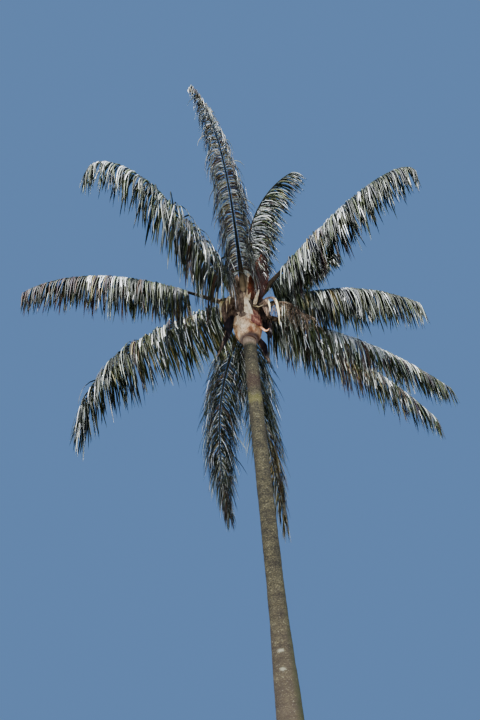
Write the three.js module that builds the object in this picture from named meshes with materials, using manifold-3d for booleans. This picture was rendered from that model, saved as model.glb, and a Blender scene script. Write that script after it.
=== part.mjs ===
// Wax palm: a slender trunk with a flared foot, a swollen collar of leaf sheaths and a crown of
// twelve feather-shaped fronds, whose leaflets bend over at the rib and hang down as curtains.
// Millimetres, +Z up, with the origin at the centre of the flat cut at ground level.
// +Y looks from the near side of the crown to its far side, and +X is to the right.

import * as THREE from 'three';
import { mergeVertices } from 'three/addons/utils/BufferGeometryUtils.js';
import Module from 'manifold-3d';

const wasm = await Module();
wasm.setup();

// Clearance between pieces that rest on each other
const GAP = 0.3;

// Trunk: radius at each height, wide at the foot and in its lower third, slender above
const TRUNK_PROFILE = [
  [0, 292], [130, 262], [420, 236], [1000, 224], [2400, 210], [3800, 192],
  [4900, 170], [5700, 140], [6500, 128], [9000, 125], [11750, 122],
];
const TRUNK_ROWS = 26;
const TRUNK_SIDES = 24;
const TRUNK_SWAY = -18;

// Collar: the swollen sheaths round the top of the trunk, which they meet at their lower rim
const COLLAR_PROFILE = [
  [11190, 148], [11225, 184], [11285, 215], [11365, 241], [11460, 260], [11570, 267], [11680, 256],
  [11750, 240],
];

// Stack of leaf bases that clasp the bud above the collar
const STACK_PROFILE = [
  [11750, 232], [11950, 218], [12150, 196], [12350, 164], [12520, 118], [12620, 60],
];
const STACK_TIP = 12650;
const LATHE_SIDES = 24;

// Fronds: heading from +X counter-clockwise and rise at the foot, droop and swing from foot to tip
// (degrees), how late they bend, length and height of the foot and length of the bare stalk. For
// their leaflets: length as a share of the longest, how fast they fall, how far their tips trail
// along the frond, forward sweep (degrees), and how far the left-hand and right-hand rows spread
const FRONDS = [
  {
    heading: -93, rise: 61, droop: 60, swing: -27, late: 2.8, length: 4380, foot: 12150,
    bare: 500, leaf: 0.85, fall: 0.9, trail: 0, sweep: 10, spread: [0.45, 0.4],
  },
  {
    heading: -78, rise: 75, droop: 66, swing: 55, late: 1.4, length: 2800, foot: 12300,
    bare: 450, leaf: 0.85, fall: 0.6, trail: 0.3, sweep: 15, spread: [1, -0.3],
  },
  {
    heading: -33, rise: 26, droop: 98, swing: -18, late: 5, length: 4220, foot: 12100,
    bare: 900, leaf: 1, fall: 1.7, trail: 0, sweep: 10, spread: [0.45, 0.35],
  },
  {
    heading: -4, rise: 53, droop: 60, swing: -8, late: 1.6, length: 2100, foot: 12100,
    bare: 600, leaf: 0.7, fall: 1.5, trail: 0.15, sweep: 15, spread: [0.4, 0.5],
  },
  {
    heading: 3, rise: 27, droop: 60, swing: 4, late: 1.3, length: 3400, foot: 11950,
    bare: 500, leaf: 1.05, fall: 1.7, trail: 0, sweep: 10, spread: [0.5, 0.5],
  },
  {
    heading: 15, rise: 1, droop: 28, swing: 14, late: 0.9, length: 4200, foot: 11820,
    bare: 400, leaf: 0.9, fall: 1.7, trail: 0, sweep: 10, spread: [0.6, 0.5],
  },
  {
    heading: 37, rise: 6, droop: 42, swing: -2, late: 1.4, length: 4850, foot: 11880,
    bare: 350, leaf: 0.95, fall: 1.7, trail: 0, sweep: 10, spread: [0.6, 0.6],
  },
  {
    heading: 88, rise: -2, droop: 72, swing: -12, late: 1.5, length: 5000, foot: 11950,
    bare: 450, leaf: 0.9, fall: 0.36, trail: 0, sweep: 35, spread: [1.1, 0.7],
  },
  {
    heading: 110, rise: -6, droop: 64, swing: -35, late: 1.9, length: 4850, foot: 11950,
    bare: 450, leaf: 0.9, fall: 0.36, trail: 0, sweep: 30, spread: [1, 1.1],
  },
  {
    heading: 157, rise: 9, droop: 108, swing: 2, late: 2.15, length: 4600, foot: 12200,
    bare: 400, leaf: 1.2, fall: 0.9, trail: -0.2, sweep: 0, spread: [0.5, 1],
  },
  {
    heading: -170, rise: 23, droop: 70, swing: 5, late: 2.3, length: 4320, foot: 12050,
    bare: 1000, leaf: 0.95, fall: 1.7, trail: 0, sweep: 10, spread: [0.5, 0.6],
  },
  {
    heading: -132, rise: 46, droop: 132, swing: -20, late: 3.6, length: 4550, foot: 12050,
    bare: 550, leaf: 1.15, fall: 1.2, trail: 0, sweep: 10, spread: [0.1, 0.7],
  },
];
const FOOT_RADIUS = 160;
const FOOT_DEPTH = 100;
const CURVE_STEPS = 48;
const RIB_STRIDE = 3;
const RIB_FOOT = { width: 54, height: 40 };
const RIB_TIP = { width: 16, height: 16 };
const SHEATH_FLARE = { width: 22, height: 14, reach: 170 };

// Leaflets: two rows on each rib, shorter towards its tip. They leave it swept forward (degrees)
// and lifted a little, then bend over and hang under their own weight.
const LEAFLETS_PER_SIDE = 29;
const LEAFLET = { length: 1060, width: 64, thickness: 11, steps: 8, bendStep: 1 };
const SWELL = { least: 0.3, start: 0.3, span: 0.64, power: 0.6 };
const UNEVEN = { least: 0.88, range: 0.24 };
const SWEEP_GAIN = 35;
const SPREAD = { least: 0.4, range: 0.9 };
const LIFT = { mean: 0.15, range: 0.3 };
const RAGGED = 0.22;

// Bracts, and dead strips of sheath that hang round the collar: each a pointed, cupped blade
// along a path, with its broad side turned to face. The root says how wide it starts.
const BLADES = [
  {
    name: 'bract_left',
    path: [[-120, 0, 11920], [-300, 0, 11720], [-390, -10, 11400], [-620, -20, 10850]],
    width: 150, root: 0.18, thickness: 22, cup: 0.12, face: [0, -1, 0], colour: 'bract',
  },
  {
    name: 'bract_right',
    path: [[120, 140, 11420], [240, 225, 11280], [280, 225, 11080], [335, 205, 10720]],
    width: 130, root: 0.18, thickness: 18, cup: 0.1, face: [0, -1, 0], colour: 'bract',
  },
  {
    name: 'spathe',
    path: [
      [85, -130, 11960], [190, -320, 12150], [270, -415, 12400], [330, -480, 12650],
      [385, -540, 12960],
    ],
    width: 360, root: 0.1, thickness: 22, cup: 0.16, face: [-0.1, -0.7, -0.7], colour: 'spathe',
  },
  {
    name: 'bract_curl',
    path: [
      [150, -70, 11500], [250, -140, 11350], [300, -158, 11265], [350, -162, 11250],
      [395, -160, 11310],
    ],
    width: 50, root: 0.18, thickness: 12, cup: 0.1, face: [0, -1, 0], colour: 'cream',
  },
  {
    name: 'sheath_hook',
    path: [[80, -140, 11860], [160, -240, 11850], [240, -275, 11775], [330, -262, 11830]],
    width: 60, root: 0.18, thickness: 10, cup: 0.1, face: [0, -0.6, 0.8], colour: 'cream',
  },
  {
    name: 'dead_sheath_left',
    path: [[-110, -100, 11900], [-280, -110, 11790], [-365, -110, 11520], [-365, -100, 11180]],
    width: 170, root: 0.18, thickness: 18, cup: 0.1, face: [0.2, -1, 0], colour: 'sheath',
  },
  {
    name: 'dead_sheath_right',
    path: [[150, 20, 11690], [280, 20, 11655], [375, 35, 11490], [410, 40, 11225]],
    width: 220, root: 0.18, thickness: 18, cup: 0.1, face: [-0.2, -1, 0], colour: 'sheath',
  },
  {
    name: 'strip_left',
    path: [
      [-100, -50, 11900], [-280, -150, 12080], [-400, -200, 12140], [-470, -200, 12000],
      [-490, -200, 11550],
    ],
    width: 105, root: 0.18, thickness: 12, cup: 0.08, face: [0.2, -1, 0], colour: 'cream',
  },
  {
    name: 'strip_left_curl',
    path: [[-90, -140, 11850], [-200, -270, 12030], [-285, -305, 12080], [-305, -305, 11880]],
    width: 55, root: 0.18, thickness: 9, cup: 0.08, face: [0.3, -1, 0], colour: 'cream',
  },
  {
    name: 'strip_right',
    path: [
      [100, -80, 11880], [300, -200, 11950], [460, -245, 12020], [570, -260, 11930],
      [600, -260, 11600], [580, -260, 11270],
    ],
    width: 62, root: 0.18, thickness: 12, cup: 0.08, face: [-0.2, -1, 0], colour: 'cream',
  },
  {
    name: 'strip_right_short',
    path: [
      [110, -120, 11800], [280, -280, 11850], [400, -330, 11870], [440, -330, 11760],
      [440, -330, 11560],
    ],
    width: 52, root: 0.18, thickness: 9, cup: 0.08, face: [-0.2, -1, 0], colour: 'cream',
  },
];
const BLADE_STATIONS = 10;

// Dead flower stalk on the right of the collar, with its drooping branchlets
const STALK_PATH = [
  [80, 0, 11780], [330, -40, 11860], [550, -120, 11980], [800, -200, 11880], [950, -220, 11660],
  [1200, -240, 11360],
];
const STALK_RADIUS = { foot: 20, tip: 5 };
const STALK_STATIONS = 8;
const BRANCHLETS = {
  count: 10, first: 0.42, length: 430, radius: 8, dip: 20, dipRange: 25, elbow: 0.35, fall: 0.6,
};

const COLOURS = {
  trunk: [0x7c7663, 0.9],
  collar: [0xc3a88a, 0.7],
  sheath: [0x6f5a45, 0.85],
  frond: [0x4b5539, 0.55],
  bract: [0x3b2a2b, 0.6],
  spathe: [0x6b3a26, 0.6],
  cream: [0xd6caa4, 0.7],
  stalk: [0x9a866a, 0.8],
};

function radians(degrees) {
  return THREE.MathUtils.degToRad(degrees);
}

function direction(heading, rise) {
  const flat = Math.cos(radians(rise));
  return new THREE.Vector3(
    flat * Math.cos(radians(heading)),
    flat * Math.sin(radians(heading)),
    Math.sin(radians(rise)),
  );
}

// A fixed number between 0 and 1 for each set of keys
function chance(...keys) {
  const mix = [12.9898, 78.233, 37.719];
  const sum = keys.reduce((total, key, place) => total + key * mix[place], 0);
  const wave = Math.sin(sum) * 43758.5453;
  return wave - Math.floor(wave);
}

function signedVolume(position, index) {
  const corner = [new THREE.Vector3(), new THREE.Vector3(), new THREE.Vector3()];
  let volume = 0;
  for (let i = 0; i < index.length; i += 3) {
    corner.forEach((point, k) => point.fromBufferAttribute(position, index[i + k]));
    volume += corner[0].dot(corner[1].cross(corner[2]));
  }
  return volume;
}

// Any closed geometry as a solid with its faces pointing out
function toSolid(geometry) {
  geometry.deleteAttribute('normal');
  geometry.deleteAttribute('uv');
  const merged = mergeVertices(geometry, 1e-3);
  const index = [];
  for (let i = 0; i < merged.index.count; i += 3) {
    const [a, b, c] = [0, 1, 2].map((k) => merged.index.getX(i + k));
    if (a !== b && b !== c && c !== a) index.push(a, b, c);
  }
  if (signedVolume(merged.attributes.position, index) < 0) index.reverse();
  return new wasm.Manifold(new wasm.Mesh({
    numProp: 3,
    vertProperties: new Float32Array(merged.attributes.position.array),
    triVerts: new Uint32Array(index),
  }));
}

function toMesh(name, solid, colour) {
  const mesh = solid.getMesh();
  const geometry = new THREE.BufferGeometry();
  geometry.setAttribute('position', new THREE.Float32BufferAttribute(mesh.vertProperties, 3));
  geometry.setIndex(new THREE.Uint32BufferAttribute(mesh.triVerts, 1));
  geometry.computeVertexNormals();
  const [color, roughness] = COLOURS[colour];
  const material = new THREE.MeshStandardMaterial({ color, roughness, metalness: 0 });
  const result = new THREE.Mesh(geometry, material);
  result.name = name;
  return result;
}

// Closed skin over a row of rings, each with as many points as the next or a single one
function loft(rings) {
  const starts = rings.map((ring, k) => rings.slice(0, k).flat().length);
  const index = [];
  for (let k = 0; k + 1 < rings.length; k += 1) {
    const [low, high] = [rings[k].length, rings[k + 1].length];
    const sides = Math.max(low, high);
    for (let i = 0; i < sides; i += 1) {
      const j = (i + 1) % sides;
      const [a, b] = [starts[k] + (i % low), starts[k] + (j % low)];
      const [c, d] = [starts[k + 1] + (i % high), starts[k + 1] + (j % high)];
      if (low > 1) index.push(a, b, d);
      if (high > 1) index.push(a, d, c);
    }
  }
  for (let i = 1; i + 1 < rings[0].length; i += 1) index.push(0, i + 1, i);
  const last = starts[rings.length - 1];
  for (let i = 1; i + 1 < rings.at(-1).length; i += 1) index.push(last, last + i, last + i + 1);
  const geometry = new THREE.BufferGeometry().setFromPoints(rings.flat());
  geometry.setIndex(index);
  return geometry;
}

// Shape turned about Z from [height, radius] pairs that start and end on the axis
function lathe(outline, sides) {
  const points = outline.map(([height, radius]) => new THREE.Vector2(radius, height));
  return new THREE.LatheGeometry(points, sides).rotateX(Math.PI / 2);
}

// Trunk, or the same trunk grown by a clearance
function trunkSolid(grow = 0) {
  const stations = TRUNK_PROFILE.map(([height, radius]) => new THREE.Vector2(radius, height));
  const rows = new THREE.SplineCurve(stations).getPoints(TRUNK_ROWS);
  const side = rows.map((point) => [point.y, point.x + grow]);
  const top = TRUNK_PROFILE.at(-1)[0];
  side.at(-1)[0] += grow;
  const geometry = lathe([[0, 0], ...side, [top + grow, 0]], TRUNK_SIDES);
  const position = geometry.attributes.position;
  for (let i = 0; i < position.count; i += 1) {
    position.setX(i, position.getX(i) + TRUNK_SWAY * Math.sin((Math.PI * position.getZ(i)) / top));
  }
  return toSolid(geometry);
}

// Barrel that the collar is cut from, or the same barrel grown by a clearance
function barrelSolid(grow = 0) {
  const outside = COLLAR_PROFILE.map(([height, radius]) => [height, radius + grow]);
  outside[0][0] -= grow;
  outside.at(-1)[0] += grow;
  return toSolid(lathe([[outside[0][0], 0], ...outside, [outside.at(-1)[0], 0]], LATHE_SIDES));
}

// Stack of leaf bases, or the same stack grown by a clearance
function stackSolid(grow = 0) {
  const outside = STACK_PROFILE.map(([height, radius]) => [height, radius + grow]);
  outside[0][0] += GAP - grow;
  return toSolid(lathe([[outside[0][0], 0], ...outside, [STACK_TIP + grow, 0]], LATHE_SIDES));
}

// Points along a frond's rib, from its foot in the stack to its tip
function rachisCurve(frond) {
  const step = frond.length / CURVE_STEPS;
  const points = [direction(frond.heading, 0).multiplyScalar(FOOT_RADIUS).setZ(frond.foot)];
  for (let i = 0; i < CURVE_STEPS; i += 1) {
    const late = ((i + 0.5) / CURVE_STEPS) ** frond.late;
    const onward = direction(frond.heading + frond.swing * late, frond.rise - frond.droop * late);
    points.push(points[i].clone().addScaledVector(onward, step));
  }
  return points;
}

// Place on the rib at a share of its length, with the rib's own onward, upward and sideways
// directions
function ribFrame(curve, share) {
  const along = share * CURVE_STEPS;
  const k = Math.min(CURVE_STEPS - 1, Math.floor(along));
  const onward = curve[k + 1].clone().sub(curve[k]).normalize();
  const upward = new THREE.Vector3(0, 0, 1).addScaledVector(onward, -onward.z).normalize();
  const sideways = new THREE.Vector3().crossVectors(onward, upward);
  return { spot: curve[k].clone().lerp(curve[k + 1], along - k), onward, upward, sideways };
}

function ribRing(frame, width, height) {
  return [[1, -1], [1, 1], [-1, 1], [-1, -1]].map(([side, up]) => (
    frame.spot.clone()
      .addScaledVector(frame.sideways, (side * width) / 2)
      .addScaledVector(frame.upward, (up * height) / 2)
  ));
}

// Rib and stalk of one frond, clear of the stack that it clasps and of the collar below
function ribSolid(frond, curve, cutters) {
  const foot = ribFrame(curve, 0);
  foot.spot.addScaledVector(foot.onward, -FOOT_DEPTH);
  const rings = [
    ribRing(foot, RIB_FOOT.width + SHEATH_FLARE.width, RIB_FOOT.height + SHEATH_FLARE.height),
  ];
  for (let i = 0; i <= CURVE_STEPS; i += RIB_STRIDE) {
    const share = i / CURVE_STEPS;
    const slim = (1 - share) ** 1.2;
    const flare = Math.exp(-(((share * frond.length) / SHEATH_FLARE.reach) ** 2));
    const [width, height] = ['width', 'height'].map((size) => (
      RIB_TIP[size] + (RIB_FOOT[size] - RIB_TIP[size]) * slim + SHEATH_FLARE[size] * flare
    ));
    rings.push(ribRing(ribFrame(curve, share), width, height));
  }
  return cutters.reduce((solid, cutter) => solid.subtract(cutter), toSolid(loft(rings)));
}

// Leaflets keep their length over most of the frond and shorten towards its tip
function leafletLength(frond, share) {
  const swell = Math.sin(Math.PI * (SWELL.start + SWELL.span * share)) ** SWELL.power;
  return LEAFLET.length * frond.leaf * (SWELL.least + (1 - SWELL.least) * swell);
}

// Points along one leaflet: it leaves the rib sideways and forward, and sags more with each step
function leafletPath(frond, frame, share, length, keys) {
  const sweep = radians(frond.sweep + SWEEP_GAIN * share ** 3);
  const [lift, sway, reach] = [0, 1, 2].map((extra) => (
    chance(keys[0] + 0.37 * extra, keys[1], keys[2]) - 0.5
  ));
  const stray = SPREAD.least + SPREAD.range * chance(keys[0] + 0.59, keys[1], keys[2]);
  const spread = keys[2] * frond.spread[keys[2] > 0 ? 1 : 0] * stray;
  const onward = frame.sideways.clone().multiplyScalar(Math.cos(sweep) * spread);
  onward.addScaledVector(frame.onward, Math.sin(sweep));
  onward.addScaledVector(frame.upward, LIFT.mean + LIFT.range * lift).normalize();
  const pull = new THREE.Vector3(RAGGED * sway, RAGGED * reach, -1);
  pull.addScaledVector(frame.onward, frond.trail).normalize().multiplyScalar(frond.fall);
  const points = [frame.spot.clone()];
  for (let i = 0; i < LEAFLET.steps; i += 1) {
    onward.add(pull).normalize();
    points.push(points[i].clone().addScaledVector(onward, length / LEAFLET.steps));
  }
  return points;
}

// Three-sided leaflet from a root on the rib's centre line: a flat underside and a low ridge,
// widest at its bend and pointed at its tip
function leafletSolid(frame, points, length) {
  const bend = points[LEAFLET.bendStep];
  const tip = points.at(-1);
  const onward = tip.clone().sub(points[0]).normalize();
  const across = frame.onward.clone().addScaledVector(onward, -frame.onward.dot(onward)).normalize();
  const ridge = new THREE.Vector3().crossVectors(across, onward);
  const width = LEAFLET.width * (0.6 + (0.4 * length) / LEAFLET.length);
  const thickness = Math.max(LEAFLET.thickness, length / 90);
  return toSolid(loft([
    [points[0]],
    [
      bend.clone().addScaledVector(across, width / 2),
      bend.clone().addScaledVector(ridge, thickness),
      bend.clone().addScaledVector(across, -width / 2),
    ],
    [tip],
  ]));
}

function frondLeaflets(frond, curve, number) {
  const leaflets = [];
  const bare = frond.bare / frond.length;
  for (let i = 0; i < LEAFLETS_PER_SIDE; i += 1) {
    const share = (i + 0.5) / LEAFLETS_PER_SIDE;
    const frame = ribFrame(curve, bare + (1 - bare) * share);
    for (const side of [-1, 1]) {
      const keys = [number, i, side];
      const uneven = UNEVEN.least + UNEVEN.range * chance(number + 0.91, i, side);
      const length = leafletLength(frond, share) * uneven;
      leaflets.push(leafletSolid(frame, leafletPath(frond, frame, share, length, keys), length));
    }
  }
  return leaflets;
}

// Pointed, cupped blade along a path
function bladeSolid(blade, cutters) {
  const curve = new THREE.CatmullRomCurve3(blade.path.map((point) => new THREE.Vector3(...point)));
  const face = new THREE.Vector3(...blade.face).normalize();
  const rings = [];
  for (let i = 0; i < BLADE_STATIONS; i += 1) {
    const share = i / BLADE_STATIONS;
    const spot = curve.getPointAt(share);
    const onward = curve.getTangentAt(share);
    const across = new THREE.Vector3().crossVectors(onward, face).normalize();
    const front = new THREE.Vector3().crossVectors(across, onward).normalize();
    const width = blade.width * Math.sin(Math.PI * (blade.root + (1 - blade.root) * share)) ** 0.7;
    const cup = blade.cup * width;
    rings.push([
      spot.clone().addScaledVector(across, width / 2),
      spot.clone().addScaledVector(front, -cup + blade.thickness / 2),
      spot.clone().addScaledVector(across, -width / 2),
      spot.clone().addScaledVector(front, -cup - blade.thickness / 2),
    ]);
  }
  rings.push([curve.getPointAt(1)]);
  return cutters.reduce((solid, cutter) => solid.subtract(cutter), toSolid(loft(rings)));
}

// Three-sided twig along a row of points
function twigSolid(points, foot, tip) {
  const rings = points.map((spot, k) => {
    const [last, next] = [points[Math.max(k - 1, 0)], points[Math.min(k + 1, points.length - 1)]];
    const onward = next.clone().sub(last).normalize();
    const across = new THREE.Vector3().crossVectors(onward, new THREE.Vector3(0.3, 1, 0.1)).normalize();
    const up = new THREE.Vector3().crossVectors(across, onward);
    const radius = foot + (tip - foot) * (k / (points.length - 1));
    return [0, 1, 2].map((corner) => {
      const turn = (corner * 2 * Math.PI) / 3;
      return spot.clone()
        .addScaledVector(across, radius * Math.cos(turn))
        .addScaledVector(up, radius * Math.sin(turn));
    });
  });
  return toSolid(loft(rings));
}

// Dead flower stalk with branchlets that droop from its outer part
function stalkSolid(cutters) {
  const curve = new THREE.CatmullRomCurve3(STALK_PATH.map((point) => new THREE.Vector3(...point)));
  const stalk = twigSolid(curve.getSpacedPoints(STALK_STATIONS), STALK_RADIUS.foot, STALK_RADIUS.tip);
  let solid = cutters.reduce((rest, cutter) => rest.subtract(cutter), stalk);
  for (let i = 0; i < BRANCHLETS.count; i += 1) {
    const share = BRANCHLETS.first + ((1 - BRANCHLETS.first) * (i + 0.5)) / BRANCHLETS.count;
    const root = curve.getPointAt(share);
    const dip = BRANCHLETS.dip + BRANCHLETS.dipRange * chance(i, 7, 2);
    const outward = direction(360 * chance(i, 3, 5), -dip);
    const length = BRANCHLETS.length * (UNEVEN.least + UNEVEN.range * chance(i, 11, 4));
    const elbow = root.clone().addScaledVector(outward, BRANCHLETS.elbow * length);
    const end = elbow.clone().add(new THREE.Vector3(0, 0, -BRANCHLETS.fall * length));
    solid = solid.add(twigSolid([root, elbow, end], BRANCHLETS.radius, BRANCHLETS.radius / 2));
  }
  return solid;
}

function boxesMeet(one, other) {
  const [a, b] = [one.boundingBox(), other.boundingBox()];
  return [0, 1, 2].every((axis) => a.min[axis] < b.max[axis] && b.min[axis] < a.max[axis]);
}

function touches(solid, others) {
  return others.some((other) => boxesMeet(solid, other) && !solid.intersect(other).isEmpty());
}

const group = new THREE.Group();
const trunk = trunkSolid();
const collar = barrelSolid().subtract(trunkSolid(GAP));
const stack = stackSolid();
const seats = [stackSolid(GAP), barrelSolid(GAP)];
group.add(toMesh('trunk', trunk, 'trunk'));
group.add(toMesh('sheath_collar', collar, 'collar'));
group.add(toMesh('leaf_base_stack', stack, 'sheath'));

const blades = BLADES.map((blade) => bladeSolid(blade, seats));
BLADES.forEach((blade, k) => group.add(toMesh(blade.name, blades[k], blade.colour)));
const stalk = stalkSolid(seats);
group.add(toMesh('flower_stalk', stalk, 'stalk'));

// Every rib stands before any leaflet is placed, and a leaflet that would touch another piece is
// left out
const curves = FRONDS.map(rachisCurve);
const ribs = FRONDS.map((frond, k) => ribSolid(frond, curves[k], seats));
const placed = [trunk, collar, stack, stalk, ...blades];
FRONDS.forEach((frond, number) => {
  const others = [...placed, ...ribs.filter((rib, k) => k !== number)];
  const leaflets = frondLeaflets(frond, curves[number], number)
    .filter((leaflet) => touches(leaflet, [ribs[number]]) && !touches(leaflet, others));
  placed.push(...leaflets);
  const whole = leaflets.reduce((solid, leaflet) => solid.add(leaflet), ribs[number]);
  group.add(toMesh(`frond_${String(number + 1).padStart(2, '0')}`, whole, 'frond'));
});

export default group;
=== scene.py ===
# %% [markdown]
# # A wax palm, from its solids to its looks
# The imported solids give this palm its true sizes: a slender trunk, a swollen collar of leaf sheaths
# and twelve feather-shaped fronds. This lesson dresses them. It replaces each solid with a finer
# mesh in the same place and gives every surface the finish of the living plant.
# All lengths are in metres, +Z is up, and the origin is the centre of the trunk's foot.

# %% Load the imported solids
import math

import bpy
from mathutils import Matrix, Vector


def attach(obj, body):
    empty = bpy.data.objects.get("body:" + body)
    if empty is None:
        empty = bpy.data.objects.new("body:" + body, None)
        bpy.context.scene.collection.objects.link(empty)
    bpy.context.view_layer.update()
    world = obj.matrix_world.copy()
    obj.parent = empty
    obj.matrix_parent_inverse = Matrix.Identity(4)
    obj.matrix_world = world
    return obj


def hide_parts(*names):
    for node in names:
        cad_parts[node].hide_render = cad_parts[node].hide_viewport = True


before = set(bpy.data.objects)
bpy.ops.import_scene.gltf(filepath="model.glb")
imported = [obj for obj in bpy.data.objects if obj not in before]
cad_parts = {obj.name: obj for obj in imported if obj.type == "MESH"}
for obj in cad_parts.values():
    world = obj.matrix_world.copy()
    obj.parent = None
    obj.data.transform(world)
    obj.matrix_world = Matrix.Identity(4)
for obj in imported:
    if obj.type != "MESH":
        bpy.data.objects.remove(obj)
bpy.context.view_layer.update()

# %% [markdown]
# ## Viewpoint
# The photograph was taken by somebody who stood about ten metres from the trunk and looked steeply
# up at the crown, with the camera held a little askew. A camera's tilt and roll are two turns, made
# one after the other: first about its own sideways axis, then about the line it looks along.

# %% Camera
CAMERA_SPOT = Vector((-0.21, -10.5, 1.6))
CAMERA_TILT = math.radians(41)
CAMERA_ROLL = math.radians(5.6)
LENS_MM, SENSOR_MM = 38, 36
FARTHEST_SEEN = 200

bpy.ops.object.select_all(action="DESELECT")
bpy.ops.object.camera_add(location=CAMERA_SPOT)
camera = bpy.context.object
camera.name = "viewpoint"
tilted = Matrix.Rotation(math.radians(90) + CAMERA_TILT, 4, "X")
camera.matrix_world = Matrix.Translation(CAMERA_SPOT) @ tilted @ Matrix.Rotation(-CAMERA_ROLL, 4, "Z")
camera.data.lens = LENS_MM
camera.data.sensor_width = SENSOR_MM
camera.data.clip_end = FARTHEST_SEEN
bpy.context.scene.camera = camera
print("camera at", tuple(CAMERA_SPOT))

# %% [markdown]
# ## Helpers for materials
# Every finish is a small network of nodes round one Principled shader. Colours are written as the
# hex values that a colour picker shows, and one function turns them into the linear numbers that
# Blender calculates with. Another adds a node, sets or links its sockets in one go, and hands on the
# output that the next node needs. A stained surface is a stack of colours, each laid over the one
# below by its own share.


# %% Colours, nodes and materials
def linear(colour):
    """The linear value of an sRGB hex colour such as 0x7c7663."""
    channels = [((colour >> shift) & 255) / 255 for shift in (16, 8, 0)]
    return [c / 12.92 if c <= 0.04045 else ((c + 0.055) / 1.055) ** 2.4 for c in channels] + [1.0]


def add_node(tree, kind, sockets, out=0, stops=None, **settings):
    """Adds a node, gives each socket its value or its link, and returns one of its outputs."""
    node = tree.nodes.new("ShaderNode" + kind)
    for name, value in settings.items():
        setattr(node, name, value)
    for key, value in sockets.items():
        if isinstance(value, bpy.types.NodeSocket):
            tree.links.new(value, node.inputs[key])
        else:
            node.inputs[key].default_value = value
    # A new colour ramp has two stops, so the first two that are given are its ends
    for k, (place, colour) in enumerate(stops or []):
        ramp = node.color_ramp.elements
        element = ramp[k] if k < 2 else ramp.new(place)
        element.position = place
        element.color = linear(colour)
    return node.outputs[out]


def new_material(name, colour, roughness, **shader):
    """A material with one Principled shader, and its sockets set by name."""
    material = bpy.data.materials.new(name)
    material.use_nodes = True
    principled = material.node_tree.nodes["Principled BSDF"]
    principled.inputs["Base Color"].default_value = linear(colour)
    principled.inputs["Roughness"].default_value = roughness
    for socket, value in shader.items():
        principled.inputs[socket.replace("_", " ")].default_value = value
    return material


def connect(material, colour=None, bump=None):
    """Links a finished colour and bump to the material's shader."""
    tree = material.node_tree
    principled = tree.nodes["Principled BSDF"]
    if colour:
        tree.links.new(colour, principled.inputs["Base Color"])
    if bump:
        tree.links.new(bump, principled.inputs["Normal"])


# A Mix node has a set of sockets for each kind of value. These are the numbers of its colour ones.
MIX_SHARE, MIX_UNDER, MIX_OVER, MIX_COLOUR = 0, 6, 7, 2


def lay_over(tree, finish, stack):
    """Lays plain colours over a finish, one after the other, each by the share that goes with it."""
    for share, colour in stack:
        sockets = {MIX_SHARE: share, MIX_UNDER: finish, MIX_OVER: linear(colour)}
        finish = add_node(tree, "Mix", sockets, MIX_COLOUR, data_type="RGBA")
    return finish


print("white is", linear(0xFFFFFF))

# %% [markdown]
# ## Bark
# A palm has no true bark: its stem is a hard, dry cylinder without any gloss, ringed by the scars of
# old leaves and stained by algae and lichen. The stain is a slow noise between dark olive and grey,
# and the mottle a finer one of a few centimetres, squeezed along Z so that it lies across the stem.
# What has a place of its own on the stem reads it from the object's coordinates: a brown band and
# yellow-green lichen under the crown, a brown tinge low down, the fresh pinkish ring at the very
# top, the moss that creeps up the right side, and two pale patches of lichen.

# %% Bark material
STAIN_M = 0.16
MOTTLE_M = 0.026
GRAIN_M = 0.008
RING_M = 0.15
# A wave texture of scale 1 repeats every 0.314 m
WAVE_M = 0.314

bark = new_material("ringed_palm_stem", 0x7C7663, 0.88)
tree = bark.node_tree
spot = add_node(tree, "TexCoord", {}, "Object")
x, z = [add_node(tree, "SeparateXYZ", {"Vector": spot}, axis) for axis in "XZ"]
stain = add_node(tree, "TexNoise", {
    "Vector": spot, "Scale": 1 / STAIN_M, "Detail": 5, "Roughness": 0.6})
base = add_node(tree, "ValToRGB", {"Fac": stain}, stops=[
    (0.30, 0x484234), (0.70, 0x837C63), (0.46, 0x615A47), (0.56, 0x6F6850)])
flattened = add_node(tree, "Mapping", {"Vector": spot, "Scale": (1, 1, 2.6)})
mottle = add_node(tree, "TexNoise", {
    "Vector": flattened, "Scale": 1 / MOTTLE_M, "Detail": 4, "Roughness": 0.7})
fleck = add_node(tree, "ValToRGB", {"Fac": mottle}, stops=[
    (0.36, 0x221F17), (0.72, 0xFFFCEE), (0.48, 0x6A6A62), (0.57, 0x94948C)])
flecked = add_node(tree, "Mix", {MIX_SHARE: 0.9, MIX_UNDER: base, MIX_OVER: fleck},
                   data_type="RGBA", blend_type="OVERLAY", out=MIX_COLOUR)
rings = add_node(tree, "TexWave", {
    "Vector": spot, "Scale": WAVE_M / RING_M, "Distortion": 1.6, "Detail": 3, "Detail Scale": 1.5},
    bands_direction="Z", out="Fac")
scar = add_node(tree, "ValToRGB", {"Fac": rings}, stops=[(0.02, 0xA89F90), (0.20, 0xFFFFFF)])
ringed = add_node(tree, "Mix", {MIX_SHARE: 0.4, MIX_UNDER: flecked, MIX_OVER: scar},
                  data_type="RGBA", blend_type="MULTIPLY", out=MIX_COLOUR)
print("stem stain", STAIN_M, "m, mottle", MOTTLE_M, "m")

# %% Bark: bands of colour
# The height where each band starts, where it is strongest and where it ends, its most, its colour
BANDS = [
    ((9.85, 10.15, 10.42), 1.0, 0x3B2A1E),
    ((9.6, 9.76, 9.9), 0.45, 0x7E7A40),
    ((-3.0, 3.5, 7.0), 0.5, 0x6E5D51),
]
WAVER = 0.5
FRESH_TOP = (10.97, 11.12)

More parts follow.
